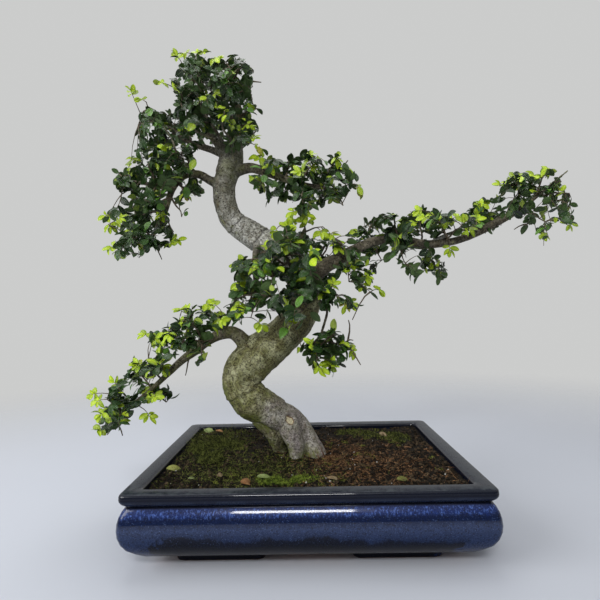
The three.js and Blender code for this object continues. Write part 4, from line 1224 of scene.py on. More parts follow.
@dataclass
class Tree:
    """The trunk, roots and limbs, which are one grown piece of wood."""

    voxel: float = 1.36
    steps_per_point: int = 5
    samples_per_limb: int = 90
    batch: int = 8000
    ring_reach: float = 40
    knots: tuple[Mark, ...] = (
        Mark((-83, -12, 392), 3.4, 0.8, 0.9),
        Mark((-110.5, -8, 433), 3.2, 1.2, 0.5),
        Mark((-103, -14, 186), 3.0, 2.2, 0.5),
        Mark((-98, -24, 165), 4.2, 1.4, 0.3),
        Mark((-92, -22, 147), 4.6, 1.5, 0.2),
        Mark((-74, -34, 176), 5.0, 0.9, 0.2),
        Mark((-52, -26, 226), 4.2, 1.3, 0.5),
        Mark((-30, -20, 250), 3.6, 1.0, 0.5),
        Mark((-80, 12, 380), 3.0, 1.0, 0.6),
        Mark((-40, 18, 330), 3.6, 1.2, 0.6),
        Mark((-60, 26, 175), 5.0, 1.8, 0.4),
        Mark((-20, 26, 235), 4.4, 1.6, 0.5),
        Mark((-104, 6, 410), 2.6, 1.1, 0.5),
        Mark((-46, -24, 150), 3.2, 0.6, 0.8),
        Mark((-88, -22, 176), 3.0, 1.4, 0.3),
        Mark((-24, -25, 128), 1.9, 0.2, 0.5),
        Mark((-24, -27, 122), 1.9, 0.2, 0.55),
        Mark((-24.5, -28, 115), 1.7, 0.2, 0.5),
    )
    rings: tuple[Ring, ...] = (
        Ring((-83, -14, 356.5), 0.9, 0.7, 0.85),
        Ring((-57, -13, 335.5), 0.9, 0.8, 0.9),
        Ring((-89, -10, 367), 0.8, 0.35, 0.35),
        Ring((-70, -12, 345), 0.8, 0.3, 0.3),
        Ring((-74, -10, 152), 1.2, 0.9, 0.55),
        Ring((-66, -10, 140), 1.4, 0.4, 0.2),
        Ring((-78, -9, 168), 1.3, 0.4, 0.2),
        Ring((-97, -6, 392), 0.9, 0.35, 0.35),
        Ring((-95, -3, 424), 1.2, 0.5, 0.3),
    )
    cut_place: Point = (-20, -27, 119.5)
    cut_size: Point = (8.8, 5.4, 14)
    cut_slope: float = -0.73
    smooth_below: float = 140

    def build(self, finish: Material) -> None:
        """Builds the wood.

        Args:
            finish: The bark's material.
        """
        routes = [one.sampled(self.steps_per_point * len(one.points)) for one in LIMBS.values()]
        wood = tubes_object("elm_wood", routes, 6)
        apply_modifier(wood, "REMESH", mode="VOXEL", voxel_size=self.voxel * MM)
        apply_modifier(wood, "SMOOTH", factor=0.5, iterations=3)
        low = np.flatnonzero(vertices_of(wood)[:, 2] < self.smooth_below * MM)
        wood.vertex_groups.new(name="base").add(low.tolist(), 1, "REPLACE")
        apply_modifier(wood, "SMOOTH", factor=0.5, iterations=12, vertex_group="base")
        self._carve(wood)
        smooth(wood)
        dress(wood, finish)
        hand_over(wood, Slot.BARK, "trunk")

    def _nearest(self, places: np.ndarray) -> tuple[np.ndarray, np.ndarray, np.ndarray]:
        """Finds the limb that each vertex belongs to, and its place on that limb.

        Args:
            places: The vertices, in millimetres.

        Returns:
            The limb's index, the place on the limb if it were straight, and the radius there.
        """
        rows, frames, owners, lengths = [], [], [], []
        for index, one in enumerate(LIMBS.values()):
            sampled = one.sampled(self.samples_per_limb)
            steps = np.linalg.norm(np.diff(sampled[:, :3], axis=0), axis=1)
            lengths.append(np.concatenate([[0], np.cumsum(steps)]))
            rows.append(sampled)
            owners.append(np.full(len(sampled), index))
            side = Vector((0, 1, 0)) if one.wood is Wood.LIMB else Vector((1, 0, 0))
            for share in np.linspace(0, 1, self.samples_per_limb):
                ahead = one.tangent(share)
                side = (side - ahead * side.dot(ahead)).normalized()
                frames.append([side, ahead.cross(side), ahead])
        rows, frames = np.vstack(rows), np.array(frames, float)
        owners, lengths = np.concatenate(owners), np.concatenate(lengths)
        nearest = np.zeros(len(places), int)
        for start in range(0, len(places), self.batch):
            part = slice(start, start + self.batch)
            gaps = np.linalg.norm(places[part, None, :] - rows[None, :, :3], axis=2) / rows[None, :, 3]
            nearest[part] = gaps.argmin(axis=1)
        straight = np.einsum("nij,nj->ni", frames[nearest], places - rows[nearest, :3])
        straight[:, 2] += lengths[nearest]
        return owners[nearest], straight, rows[nearest, 3]

    def _carve(self, wood: Object) -> None:
        """Raises and sinks the bark, and stores where it changes colour."""
        places = (vertices_of(wood) - (POT_MIDDLE_X, 0, 0)) / MM
        skin = Skin(places, vertices_of(wood, "vertex_normals", "vector"), *self._nearest(places))
        self._roughen(skin)
        self._add_knots(skin)
        self._add_rings(skin)
        self._add_cut(skin)
        fade = np.clip(skin.radius / 6, 0.15, 1)
        skin.places = places + skin.normals * (skin.rise * fade)[:, None]
        move_vertices(wood, in_frame(skin.places))
        for name, values in self._colour_shares(skin).items():
            write_attribute(wood, name, values)
        write_attribute(wood, "straightened", skin.straight * MM)

    def _roughen(self, skin: Skin) -> None:
        """Gives the bark its flutes, lumps, ripples and pits, and the roots their grooves."""
        angle, along, radius = skin.angle, skin.along, skin.radius
        flutes = 0.035 * np.sin(3 * angle + along / 38) + 0.02 * np.sin(5 * angle - along / 21)
        skin.rise = radius * flutes * np.where(radius > 4, 1.0, 0.4)
        lumps, ripples = np.minimum(radius, 20) * 0.075, np.minimum(radius, 12) * 0.045
        skin.rise += lumps * skin.lumps + ripples * skin.ripples
        pits = noise_field(skin.straight, 3.6, 2)
        skin.rise += np.minimum(radius, 9) * 0.028 * pits
        skin.hollow = smooth_step(0.35, 0.8, -pits) * 0.25
        grooves = np.abs(noise_field(skin.straight * (1, 1, 0.12), 9, 2))
        skin.rise -= np.where(skin.of(Wood.ROOT, Wood.MOSSY_ROOT), 0.4 * smooth_step(0.12, 0.0, grooves), 0)

    def _add_knots(self, skin: Skin) -> None:
        """Raises each knot round its sunken, darkened middle."""
        for knot in self.knots:
            gap = np.linalg.norm(skin.places - knot.place, axis=1) / knot.reach
            skin.rise += knot.rise * np.exp(-gap ** 2) - 0.9 * knot.rise * np.exp(-(gap * 3) ** 2)
            skin.hollow = np.maximum(skin.hollow, knot.darkening * np.exp(-(gap * 2.0) ** 2))

    def _add_rings(self, skin: Skin) -> None:
        """Sinks each ring's wavy crease round the trunk, with a raised shoulder above it."""
        on_trunk, trunk = skin.of(Wood.TRUNK), LIMBS["trunk"]
        for ring in self.rings:
            share = min(np.linspace(0, 1, 400), key=lambda s: (trunk.at(s) - Vector(ring.place)).length)
            centre, ahead = np.array(trunk.at(share)), np.array(trunk.tangent(share))
            bend = 1.3 * np.sin(2 * skin.angle + share * 20) + 0.7 * np.sin(5 * skin.angle)
            off = (skin.places - centre) @ ahead + bend
            near = on_trunk & (np.linalg.norm(skin.places - centre, axis=1) < self.ring_reach)
            dip = np.where(near, np.exp(-(off / ring.width) ** 2), 0)
            shoulder = np.where(near, np.exp(-((off - 2.6 * ring.width) / (1.6 * ring.width)) ** 2), 0)
            skin.rise += ring.depth * (0.7 * shoulder - dip)
            skin.hollow = np.maximum(skin.hollow, ring.darkening * dip)

    def _add_cut(self, skin: Skin) -> None:
        """Sinks the scar of the pruning cut inside a rim of healed bark."""
        off = skin.places - self.cut_place
        lengthways = off[:, 0] * math.cos(self.cut_slope) + off[:, 2] * math.sin(self.cut_slope)
        sideways = off[:, 2] * math.cos(self.cut_slope) - off[:, 0] * math.sin(self.cut_slope)
        gap = np.stack([lengthways, sideways, off[:, 1]], axis=1) / self.cut_size
        gap = np.linalg.norm(gap, axis=1) + 0.16 * skin.ripples
        skin.scar = smooth_step(0.8, 0.5, gap)
        skin.rise += 1.3 * np.exp(-((gap - 1.05) / 0.3) ** 2) - 1.2 * skin.scar

    def _colour_shares(self, skin: Skin) -> dict[str, np.ndarray]:
        """Tells how much of each look every vertex of the bark has.

        Args:
            skin: The carved surface.

        Returns:
            The values of each attribute that the bark's material reads.
        """
        x, height, mossy_root = skin.places[:, 0], skin.places[:, 2], skin.of(Wood.MOSSY_ROOT)
        wander = 10 * skin.lumps
        root = smooth_step(156, 122, height + wander) * smooth_step(-68, -42, x)
        under = smooth_step(-0.05, 0.75, -skin.normals[:, 2] - 0.5 * skin.normals[:, 0])
        mossy = 0.75 * under * smooth_step(215, 150, height) + 0.3 * smooth_step(250, 180, height)
        mossy = np.where(mossy_root, 0.95, mossy)
        mossy += 0.35 * smooth_step(0.1, 0.6, skin.lumps) + 0.5 * smooth_step(88, 74, height)
        return {
            "grey": smooth_step(265, 325, height + wander),
            "root": np.where(mossy_root, 0.25, root),
            "limb": np.where(skin.of(Wood.LIMB), smooth_step(6, 34, skin.along + wander), 0),
            "hollow": skin.hollow,
            "mossy": np.clip(mossy, 0, 1),
            "scar": skin.scar,
            "fibrous": smooth_step(92, 78, height + 0.5 * wander) * smooth_step(-6, 6, x),
            # upper rises where the crown's painted shade darkens the trunk.
            "upper": smooth_step(335, 385, height + wander),
        }


# Half the blade's width at each of its stations, for three shapes of leaf.
ROUND = (0.13, 0.27, 0.33, 0.29, 0.16)
OVAL = (0.11, 0.24, 0.29, 0.25, 0.13)
SLIM = (0.09, 0.2, 0.235, 0.19, 0.1)


@dataclass(frozen=True)
class Blade:
    """One shape of leaf, a unit long, as a closed thin blade."""

    fold: float
    curl: float
    twist: float
    half_widths: tuple[float, ...] = ROUND
    stations: tuple[float, ...] = (0.07, 0.25, 0.48, 0.72, 0.9)
    puff: float = 0.02
    midrib: float = 0.014

    def shape(self) -> tuple[np.ndarray, list[tuple[int, ...]], np.ndarray, np.ndarray]:
        """Builds the blade along +X, facing +Z.

        Returns:
            Its vertices, faces, the leaf coordinates of each vertex, and which faces are below.
        """
        columns = (-1.0, -0.5, 0.0, 0.5, 1.0)
        points, leaf_places = [(0.0, 0.0, 0.0), (1.0, 0.0, 0.0)], [(0.5, 0.0), (0.5, 1.0)]
        for t, width in zip(self.stations, self.half_widths):
            for column in columns:
                lift = self.puff if abs(column) == 0.5 else 0.0
                points.append((t, column * width, self.fold * abs(column) * width + lift))
                leaf_places.append((0.5 + 0.5 * column, t))
            points.append((t, 0.0, -self.midrib))
            leaf_places.append((0.5, t))
        rows = [[2 + 6 * k + j for j in range(5)] for k in range(len(self.stations))]
        top, below = [], []
        for j in range(4):
            top.append((0, rows[0][j], rows[0][j + 1]))
            for near, far in zip(rows, rows[1:]):
                top.append((near[j], far[j], far[j + 1], near[j + 1]))
            top.append((rows[-1][j], 1, rows[-1][j + 1]))
        lows = [[row[0], row[0] + 5, row[4]] for row in rows]
        for j in range(2):
            below.append((0, lows[0][j + 1], lows[0][j]))
            for near, far in zip(lows, lows[1:]):
                below.append((near[j], near[j + 1], far[j + 1], far[j]))
            below.append((lows[-1][j], lows[-1][j + 1], 1))
        shaped = np.array(points)
        bend = shaped[:, 0] - 0.25
        shaped[:, 2] -= self.curl * np.sign(bend) * bend ** 2
        turn = self.twist * shaped[:, 0]
        y, z = shaped[:, 1].copy(), shaped[:, 2].copy()
        shaped[:, 1] = y * np.cos(turn) - z * np.sin(turn)
        shaped[:, 2] = y * np.sin(turn) + z * np.cos(turn)
        under = np.array([0.0] * len(top) + [1.0] * len(below))
        return shaped, top + below, np.array(leaf_places), under


BLADES = (
    Blade(0.12, 0.2, 0.12),
    Blade(0.28, 0.45, -0.2),
    Blade(0.1, 0.1, 0.25, OVAL),
    Blade(0.3, 0.65, 0.1, OVAL),
    Blade(0.2, 0.3, -0.15, OVAL),
    Blade(0.45, 0.35, -0.1, SLIM),
)


@dataclass
class LeafPlace:
    """Where one leaf grows."""

    base: Vector
    direction: Vector
    facing: Vector
    length: float
    young: float
    tone: float


# Gaps in the foliage: x and z seen from the front on the plane through the trunk, and a radius.
GAPS: tuple[Point, ...] = (
    (-121, 441, 15), (50, 278, 13), (-65, 236, 12), (18, 232, 10), (-40, 238, 8), (29, 328, 6.5),
    (-31, 282, 6.5), (296, 354, 6), (306, 409, 6), (130, 311, 5.6), (141, 319, 5.6), (-197, 162, 5.6),
    (308, 362, 5.5), (-46, 344, 5), (259, 384, 4.5), (-154, 246, 4.5), (-61, 219, 4.5), (-10, 385, 4.3),
    (-94, 573, 4.3), (-18, 402, 4.3), (-141, 191, 4.2), (-144, 471, 4.2), (4, 353, 4), (54, 328, 4),
    (16, 300, 4), (-162, 495, 4), (-28, 349, 4), (52, 336, 4), (-73, 556, 4), (239, 376, 4), (107, 324, 4),
    (-49, 247, 4), (-68, 268, 3.5), (-184, 376, 3.5), (-178, 347, 3.5), (-143, 394, 6), (-154, 386, 5),
    (-161, 375, 4), (-164, 187, 4), (-177, 178, 4), (-50, 428, 5), (-34, 421, 5), (-69, 439, 5),
    (319, 341, 8), (300, 378, 5), (327, 396, 4), (0, 240, 11), (-17, 226, 8), (-8, 262, 5),
    (-147, 421, 4), (-157, 409, 5), (-164, 398, 5), (-168, 386, 4), (-113, 467, 4), (-102, 457, 4),
    (-150, 449, 3), (-156, 461, 3), (-5, 252, 6), (8, 250, 6), (-8, 258, 5),
)


@dataclass
class Growth:
    """What one shoot has grown: the points of its stems, its stems' and twigs' tubes, its leaves."""

    carriers: np.ndarray
    tubes: list[np.ndarray]
    leaves: list[LeafPlace]


def seen_from_front(places: np.ndarray) -> np.ndarray:
    """Carries places along the sight lines to the plane through the trunk, as x and z."""
    places = np.atleast_2d(places)
    eye_x, eye_y, eye_z = EYE
    nearer = -eye_y / (places[:, 1] - eye_y)
    return np.stack([eye_x + (places[:, 0] - eye_x) * nearer, eye_z + (places[:, 2] - eye_z) * nearer], 1)


def within(outline: np.ndarray, places: np.ndarray) -> np.ndarray:
    """Tells which flat places lie inside a closed outline."""
    x, z = places[:, 0:1], places[:, 1:2]
    ends = np.roll(outline, -1, axis=0)
    spans = (outline[:, 1] > z) != (ends[:, 1] > z)
    rise = ends[:, 1] - outline[:, 1]
    slope = (ends[:, 0] - outline[:, 0]) / np.where(rise == 0, 1, rise)
    return (spans & (x < outline[:, 0] + slope * (z - outline[:, 1]))).sum(axis=1) % 2 == 1


@dataclass
class Foliage:
    """Grows every leafy shoot's twigs and leaves."""

    fork_reach: float = 4.0
    stem_share: float = 0.86
    arch: float = 0.06
    spur_share: float = 0.6
    spur_squareness: float = 0.8
    limb_end: float = 0.95
    stem_radii: Point = (1.35, 1.0, 0.55)
    twig_radius: float = 0.42
    leaves: int = 6
    leafy_length: float = 24.0
    longest_twig: float = 48.0
    stray_share: float = 0.06
    tip_share: float = 0.5
    gap_margin: float = 2.2
    leaf_scale: float = 0.88
    seed: int = 24

    def __post_init__(self) -> None:
        """Shapes the blades and outlines once and starts the random numbers."""
        self.shapes = [blade.shape() for blade in BLADES]
        self.random = random.Random(self.seed)
        self.numbers = np.random.default_rng(self.seed)
        self.outlines = [np.array(o, float) for region in REGIONS.values() for o in region.outlines]
        self.gaps = np.array(GAPS, float)

    def _wander(self, amount: float) -> Vector:
        """Gives a random direction of a length."""
        return Vector([self.random.gauss(0, amount) for _ in range(3)])

    def _pruned(self, base: Vector, direction: Vector, length: float) -> bool:
        """Tells whether a leaf is cut back, as it would reach past an outline or fill a gap."""
        places = seen_from_front(np.array([base + direction * length * share for share in (0.5, 0.95)]))
        kept = np.any([within(outline, places) for outline in self.outlines], axis=0)
        off = np.linalg.norm(places[:, None] - self.gaps[None, :, :2], axis=2)
        filled = (off < self.gaps[:, 2] + self.gap_margin).any()
        chance = self.random.random()
        blocked = filled or not kept[0]
        return (blocked and chance > self.stray_share) or (not kept[1] and chance > self.tip_share)

    def _stems(self, shoot: Shoot) -> Growth:
        """Grows a shoot's spur and its stems, which part at its end.

        Args:
            shoot: Where it grows.

        Returns:
            The shoot with its stems and no leaves yet.
        """
        route = LIMBS[shoot.limb]
        anchor, radius = route.at(shoot.at), route.radius(shoot.at)
        outward = sum(((Vector(tip) - anchor).normalized() for tip in shoot.tips), Vector())
        if shoot.at < self.limb_end:
            ahead = route.tangent(shoot.at)
            outward -= ahead * self.spur_squareness * outward.dot(ahead)
        fork = anchor + outward.normalized() * (radius + self.fork_reach)
        spur_radius = min(self.stem_radii[0], self.spur_share * radius)
        past = fork + (fork - anchor).normalized()
        tubes = [np.array([[*anchor, spur_radius], [*past, self.stem_radii[0]]])]
        for tip in shoot.tips:
            end = fork.lerp(Vector(tip), self.stem_share)
            reach = (end - fork).length
            middle = fork.lerp(end, 0.5) + UP * self.arch * reach
            bends = [fork, fork.lerp(middle, 0.5) + self._wander(0.03 * reach), middle,
                     middle.lerp(end, 0.5) + self._wander(0.03 * reach), end]
            radii = np.interp(np.linspace(0, 1, 5), [0, 0.5, 1], self.stem_radii)
            tubes.append(Route(tuple((*point, r) for point, r in zip(bends, radii))).sampled(10))
        return Growth(np.vstack([tube[1:, :3] for tube in tubes[1:]]), tubes, [])

    def _targets(self, region: Region, carriers: np.ndarray) -> list[np.ndarray]:
        """Spreads the ends of twigs over a region's outlines and through its depth.

        Args:
            region: Where they are wanted.
            carriers: The points of its stems.

        Returns:
            The places of the twigs' ends.
        """
        flat = seen_from_front(carriers)
        chosen: list[np.ndarray] = []
        for outline in region.outlines:
            corners = np.array(outline, float)
            area = abs(np.sum(corners[:, 0] * (np.roll(corners[:, 1], 1) - np.roll(corners[:, 1], -1)))) / 2
            count = int(area / 100 * region.sprigs)
            spread = self.numbers.uniform(corners.min(axis=0), corners.max(axis=0), (count * 60, 2))
            spread = spread[within(corners, spread)][:count * 8]
            near = np.linalg.norm(spread[:, None] - flat[None], axis=2).argmin(axis=1)
            depths = carriers[near, 1] + self.numbers.normal(0, region.depth, len(spread))
            away = (depths - EYE[1]) / -EYE[1]
            full = np.stack([EYE[0] + (spread[:, 0] - EYE[0]) * away, depths,
                             EYE[2] + (spread[:, 1] - EYE[2]) * away], 1)
            for k in range(0, len(full), 8):
                batch = full[k:k + 8]
                if chosen:
                    gaps = np.linalg.norm(batch[:, None] - np.array(chosen)[None], axis=2).min(axis=1)
                    chosen.append(batch[gaps.argmax()])
                else:
                    chosen.append(batch[0])
        return chosen

    def _twig(self, growth: Growth, start: Vector, end: Vector, thick: float = 1.0) -> Route:
        """Grows one twig from a stem to a place."""
        reach = (end - start).length
        knee = start.lerp(end, 0.5) + UP * 0.1 * reach + self._wander(0.05 * reach)
        radius = self.twig_radius * thick
        twig = Route(((*start, radius * 1.5), (*knee, radius), (*end, radius * 0.7)))
        growth.tubes.append(twig.sampled(4))
        return twig

    def _sprig(self, growth: Growth, region: Region, start: Vector, end: Vector) -> None:
        """Grows a twig with leaves in turn along both sides of its outer part."""
        twig = self._twig(growth, start, end)
        borne = len(growth.leaves)
        reach = max((end - start).length, 1.0)
        heart = Vector(growth.carriers.mean(axis=0))
        outward = (end - heart).normalized()
        flat = (UP * 0.8 + outward * 0.55 + self._wander(0.5)).normalized()
        tone = self.random.random()
        first = max(0.0, 1 - self.leafy_length / reach)
        for k in range(self.leaves):
            share = first + (1 - first) * (k + 1) / self.leaves
            last = k == self.leaves - 1
            ahead = twig.tangent(min(share, 0.99))
            side = flat.cross(ahead).normalized() * (1 if k % 2 else -1)
            lean = 0.2 if last else 0.9
            direction = ahead * math.cos(lean) + side * math.sin(lean) + self._wander(0.2)
            direction.z -= region.droop * self.random.random()
            length = region.leaf_length * self.leaf_scale * self.random.uniform(0.62, 1.12)
            young = self.random.uniform(0.4, 1) if self.random.random() < region.young_share * 1.6 else 0.0
            base = twig.at(share)
            if self._pruned(base, direction.normalized(), length):
                continue
            growth.leaves.append(LeafPlace(base, direction.normalized(), flat + self._wander(0.4), length,
                                           young, 0.5 * tone + 0.5 * self.random.random()))
        if len(growth.leaves) < borne + 2:
            growth.tubes.pop()

    def _fresh_sprig(self, growth: Growth, region: Region, start: Vector, end: Vector) -> None:
        """Grows a twig that ends in a bunch of young leaves, which face the front."""
        twig = self._twig(growth, start, end)
        ahead = twig.tangent(0.95)
        front = (FRONT * 0.75 + UP * 0.5).normalized()
        side = front.cross(ahead).normalized()
        tone = self.random.random()
        for k, lean in enumerate((0.1, 0.9, -0.9, 1.5, -1.5)):
            direction = ahead * math.cos(lean) + side * math.sin(lean) + self._wander(0.2)
            size = region.leaf_length * self.random.uniform(0.5, 0.8)
            base = end - ahead * 1.3 * k
            young = 1.0 if k < 3 else self.random.uniform(0.5, 0.9)
            growth.leaves.append(LeafPlace(base, direction.normalized(), front + self._wander(0.35), size,
                                           young, 0.7 * tone + 0.3 * self.random.random()))

    def grow(self, region: Region) -> list[Growth]:
        """Grows all the shoots of one region.

        Args:
            region: How it bears its leaves.

        Returns:
            What each of its shoots has grown.
        """
        grown = [self._stems(shoot) for shoot in region.shoots]
        carriers = np.vstack([one.carriers for one in grown])
        owners = np.repeat(np.arange(len(grown)), [len(one.carriers) for one in grown])

        def join(end: Point | np.ndarray) -> tuple[Growth, Vector, Vector]:
            """Finds the stem or twig nearest to a twig's end."""
            gaps = np.linalg.norm(carriers - np.asarray(end, float), axis=1)
            near = gaps.argmin()
            return grown[owners[near]], Vector(carriers[near]), Vector(end)

        for target in self._targets(region, carriers):
            growth, start, end = join(target)
            if (end - start).length < self.longest_twig:
                self._sprig(growth, region, start, end)
        for one in grown:
            for k in range(2, len(one.carriers), 3):
                place = Vector(one.carriers[k])
                self._sprig(one, region, place, place + (self._wander(1) + UP * 0.4).normalized() * 9)
        ends = [(index, tube[-1, :3]) for index, one in enumerate(grown) for tube in one.tubes]
        carriers = np.vstack([carriers, *(place for _, place in ends)])
        owners = np.concatenate([owners, [index for index, _ in ends]])
        for target in region.fresh:
            growth, start, end = join(target)
            self._fresh_sprig(growth, region, start, end)
        for target in region.bare:
            growth, start, end = join(target)
            self._twig(growth, start, end, 2.0)
        return grown

    def _blades(self, name: str, leaves: Sequence[LeafPlace]) -> Object:
        """Makes one mesh of many leaves.

        Args:
            name: The object's name.
            leaves: The leaves' places, in millimetres.

        Returns:
            The object, with what its material reads.
        """
        points = []
        for leaf in leaves:
            shape, faces, leaf_places, under = self.random.choice(self.shapes)
            facing = (leaf.facing - leaf.direction * leaf.facing.dot(leaf.direction)).normalized()
            axes = np.array([leaf.direction, facing.cross(leaf.direction), facing], float)
            wide = self.random.uniform(0.9, 1.12)
            points.append(shape * (1, wide, 1) * leaf.length @ axes + np.array(leaf.base))
        made = mesh_object(name, np.vstack(points), copied(faces, len(leaves), len(shape)))
        write_attribute(made, "tone", np.repeat([leaf.tone for leaf in leaves], len(shape)))
        write_attribute(made, "young", np.repeat([leaf.young for leaf in leaves], len(shape)))
        write_attribute(made, "underside", np.tile(under, len(leaves)), "FACE")
        loops = np.zeros(len(made.data.loops), np.int32)
        made.data.loops.foreach_get("vertex_index", loops)
        layer = made.data.uv_layers.new(name="blade")
        layer.data.foreach_set("uv", leaf_places[loops % len(shape)].astype(np.float32).ravel())
        smooth(made, 60)
        return made

    def build(self, leaf_finish: Material, twig_finish: Material) -> None:
        """Builds every leafy shoot as one piece each.

        Args:
            leaf_finish: The leaves' material.
            twig_finish: The twigs' material.
        """
        for region_name, region in REGIONS.items():
            for index, growth in enumerate(self.grow(region), 1):
                node = f"{region_name}_shoot_{index}"
                twigs = tubes_object(f"leafy_{node}", growth.tubes, 1)
                dress(twigs, twig_finish)
                smooth(twigs)
                leaves = self._blades(f"{node}_blades", growth.leaves)
                dress(leaves, leaf_finish)
                choose(twigs, leaves)
                bpy.ops.object.join()
                hand_over(twigs, Slot.LEAF, node)


@dataclass
class Pot:
    """A glazed rectangular pot on four feet, made by extruding its outline up and back down."""

    length: float = 355.0
    depth: float = 275.0
    corner: float = 7.0
    foot_length: float = 102.0
    foot_depth: float = 44.0
    foot_corner: float = 10.0
    foot_x: float = 89.0
    foot_y: float = 92.0
    drain_radius: float = 11.0
    drain_x: float = 85.0
    corner_steps: int = 6
    side_cuts: int = 14
    foot_cuts: int = 2
    sharp_above: float = 38.0
    outside: tuple[Pair, ...] = (
        (-20, 12), (-13.5, 13.6), (-8, 18), (-1.5, 24.5), (2, 31), (4, 38), (4.5, 44), (4, 50.5),
        (2.5, 56), (0.3, 60.4), (-2.5, 64),
    )
    lip: tuple[Pair, ...] = (
        (-3.2, 64.8), (-2.7, 65.5), (-0.5, 66.7), (1.2, 68.3), (2.3, 70.4), (2.6, 72.4), (2.5, 75),
        (2.1, 76.3), (1.1, 77.4), (-0.6, 78), (-11.8, 78), (-13.6, 77.6), (-14.9, 76.5), (-15.8, 74.5),
    )
    inside: tuple[Pair, ...] = ((-16, 71), (-16, 32), (-19, 23), (-26, 20))
    foot_profile: tuple[Pair, ...] = (
        (-7.4, 0), (-6.6, 0.5), (-6.2, 1.3), (-5.6, 4), (-4.4, 7), (-2.2, 9.8), (0.6, 11.6), (2.4, 13.2),
    )

    def _extruded(self, size: Pair, corner: float, cuts: int, profile: Sequence[Pair]) -> Object:
        """Extrudes a rounded rectangle through a profile.

        Args:
            size: The rectangle's length and depth.
            corner: Its corner radius.
            cuts: The cuts along each side.
            profile: Offsets from the rectangle and heights.

        Returns:
            A closed object in millimetres, about the origin.
        """
        half_x, half_y = size[0] / 2, size[1] / 2
        made = primitive("plane", size=2, location=(0, 0, 0))
        made.scale = (half_x, half_y, 1)
        settle(made)
        bpy.ops.object.mode_set(mode="EDIT")
        bpy.ops.mesh.bevel(offset=corner, segments=self.corner_steps, affect="VERTICES", clamp_overlap=True)
        bpy.ops.object.mode_set(mode="OBJECT")
        for edge in made.data.edges:
            first, second = (made.data.vertices[i].co for i in edge.vertices)
            edge.select = (first - second).length > 2 * corner
        bpy.ops.object.mode_set(mode="EDIT")
        bpy.ops.mesh.select_mode(type="EDGE")
        bpy.ops.mesh.subdivide(number_cuts=cuts)
        bpy.ops.mesh.select_mode(type="FACE")
        bpy.ops.mesh.select_all(action="SELECT")
        first_out, first_height = profile[0]
        bpy.ops.transform.resize(value=((half_x + first_out) / half_x, (half_y + first_out) / half_y, 1))
        bpy.ops.transform.translate(value=(0, 0, first_height))
        for (out, height), (next_out, next_height) in zip(profile, profile[1:]):
            bpy.ops.mesh.extrude_region_move(TRANSFORM_OT_translate={"value": (0, 0, next_height - height)})
            grow_x = (half_x + next_out) / (half_x + out)
            grow_y = (half_y + next_out) / (half_y + out)
            bpy.ops.transform.resize(value=(grow_x, grow_y, 1), center_override=(0, 0, next_height))
        bpy.ops.mesh.select_all(action="SELECT")
        bpy.ops.mesh.normals_make_consistent(inside=False)
        bpy.ops.object.mode_set(mode="OBJECT")
        return made

    def _fused(self, pot: Object, tool: Object, operation: str, place: Point) -> None:
        """Joins another shape to the pot, or cuts it out.

        Args:
            pot: The pot.
            tool: The other shape, which is used up.
            operation: UNION or DIFFERENCE.
            place: Where it goes.
        """
        tool.location = place
        settle(tool)
        apply_modifier(pot, "BOOLEAN", operation=operation, object=tool, solver="EXACT")
        bpy.data.objects.remove(tool)

    def build(self, finish: Material) -> None:
        """Builds the pot.

        Args:
            finish: The glaze's material.
        """
        pot = self._extruded((self.length, self.depth), self.corner, self.side_cuts,
                             self.outside + self.lip + self.inside)
        pot.name = "glazed_pot"
        for side in (-1, 1):
            for end in (-1, 1):
                foot = self._extruded((self.foot_length, self.foot_depth), self.foot_corner,
                                      self.foot_cuts, self.foot_profile)
                self._fused(pot, foot, "UNION", (side * self.foot_x, end * self.foot_y, 0))
            drain = primitive("cylinder", vertices=40, radius=self.drain_radius, depth=30)
            self._fused(pot, drain, "DIFFERENCE", (side * self.drain_x, 0, 16))
        move_vertices(pot, in_frame(vertices_of(pot)))
        smooth(pot, self.sharp_above)
        dress(pot, finish)
        hand_over(pot, Slot.GLAZE, "pot")


CRUMB_ROUGHNESS = 0.3


def crumb_shape() -> tuple[np.ndarray, list[tuple[int, ...]]]:
    """Models one crumb.

    Returns:
        Its vertices and faces.
    """
    crumb = primitive("ico_sphere", subdivisions=1, radius=1)
    points = vertices_of(crumb)
    points *= 1 + CRUMB_ROUGHNESS * noise_field(points, 0.9, 1, 3)[:, None]
    faces = [tuple(face.vertices) for face in crumb.data.polygons]
    bpy.data.objects.remove(crumb)
    return points, faces


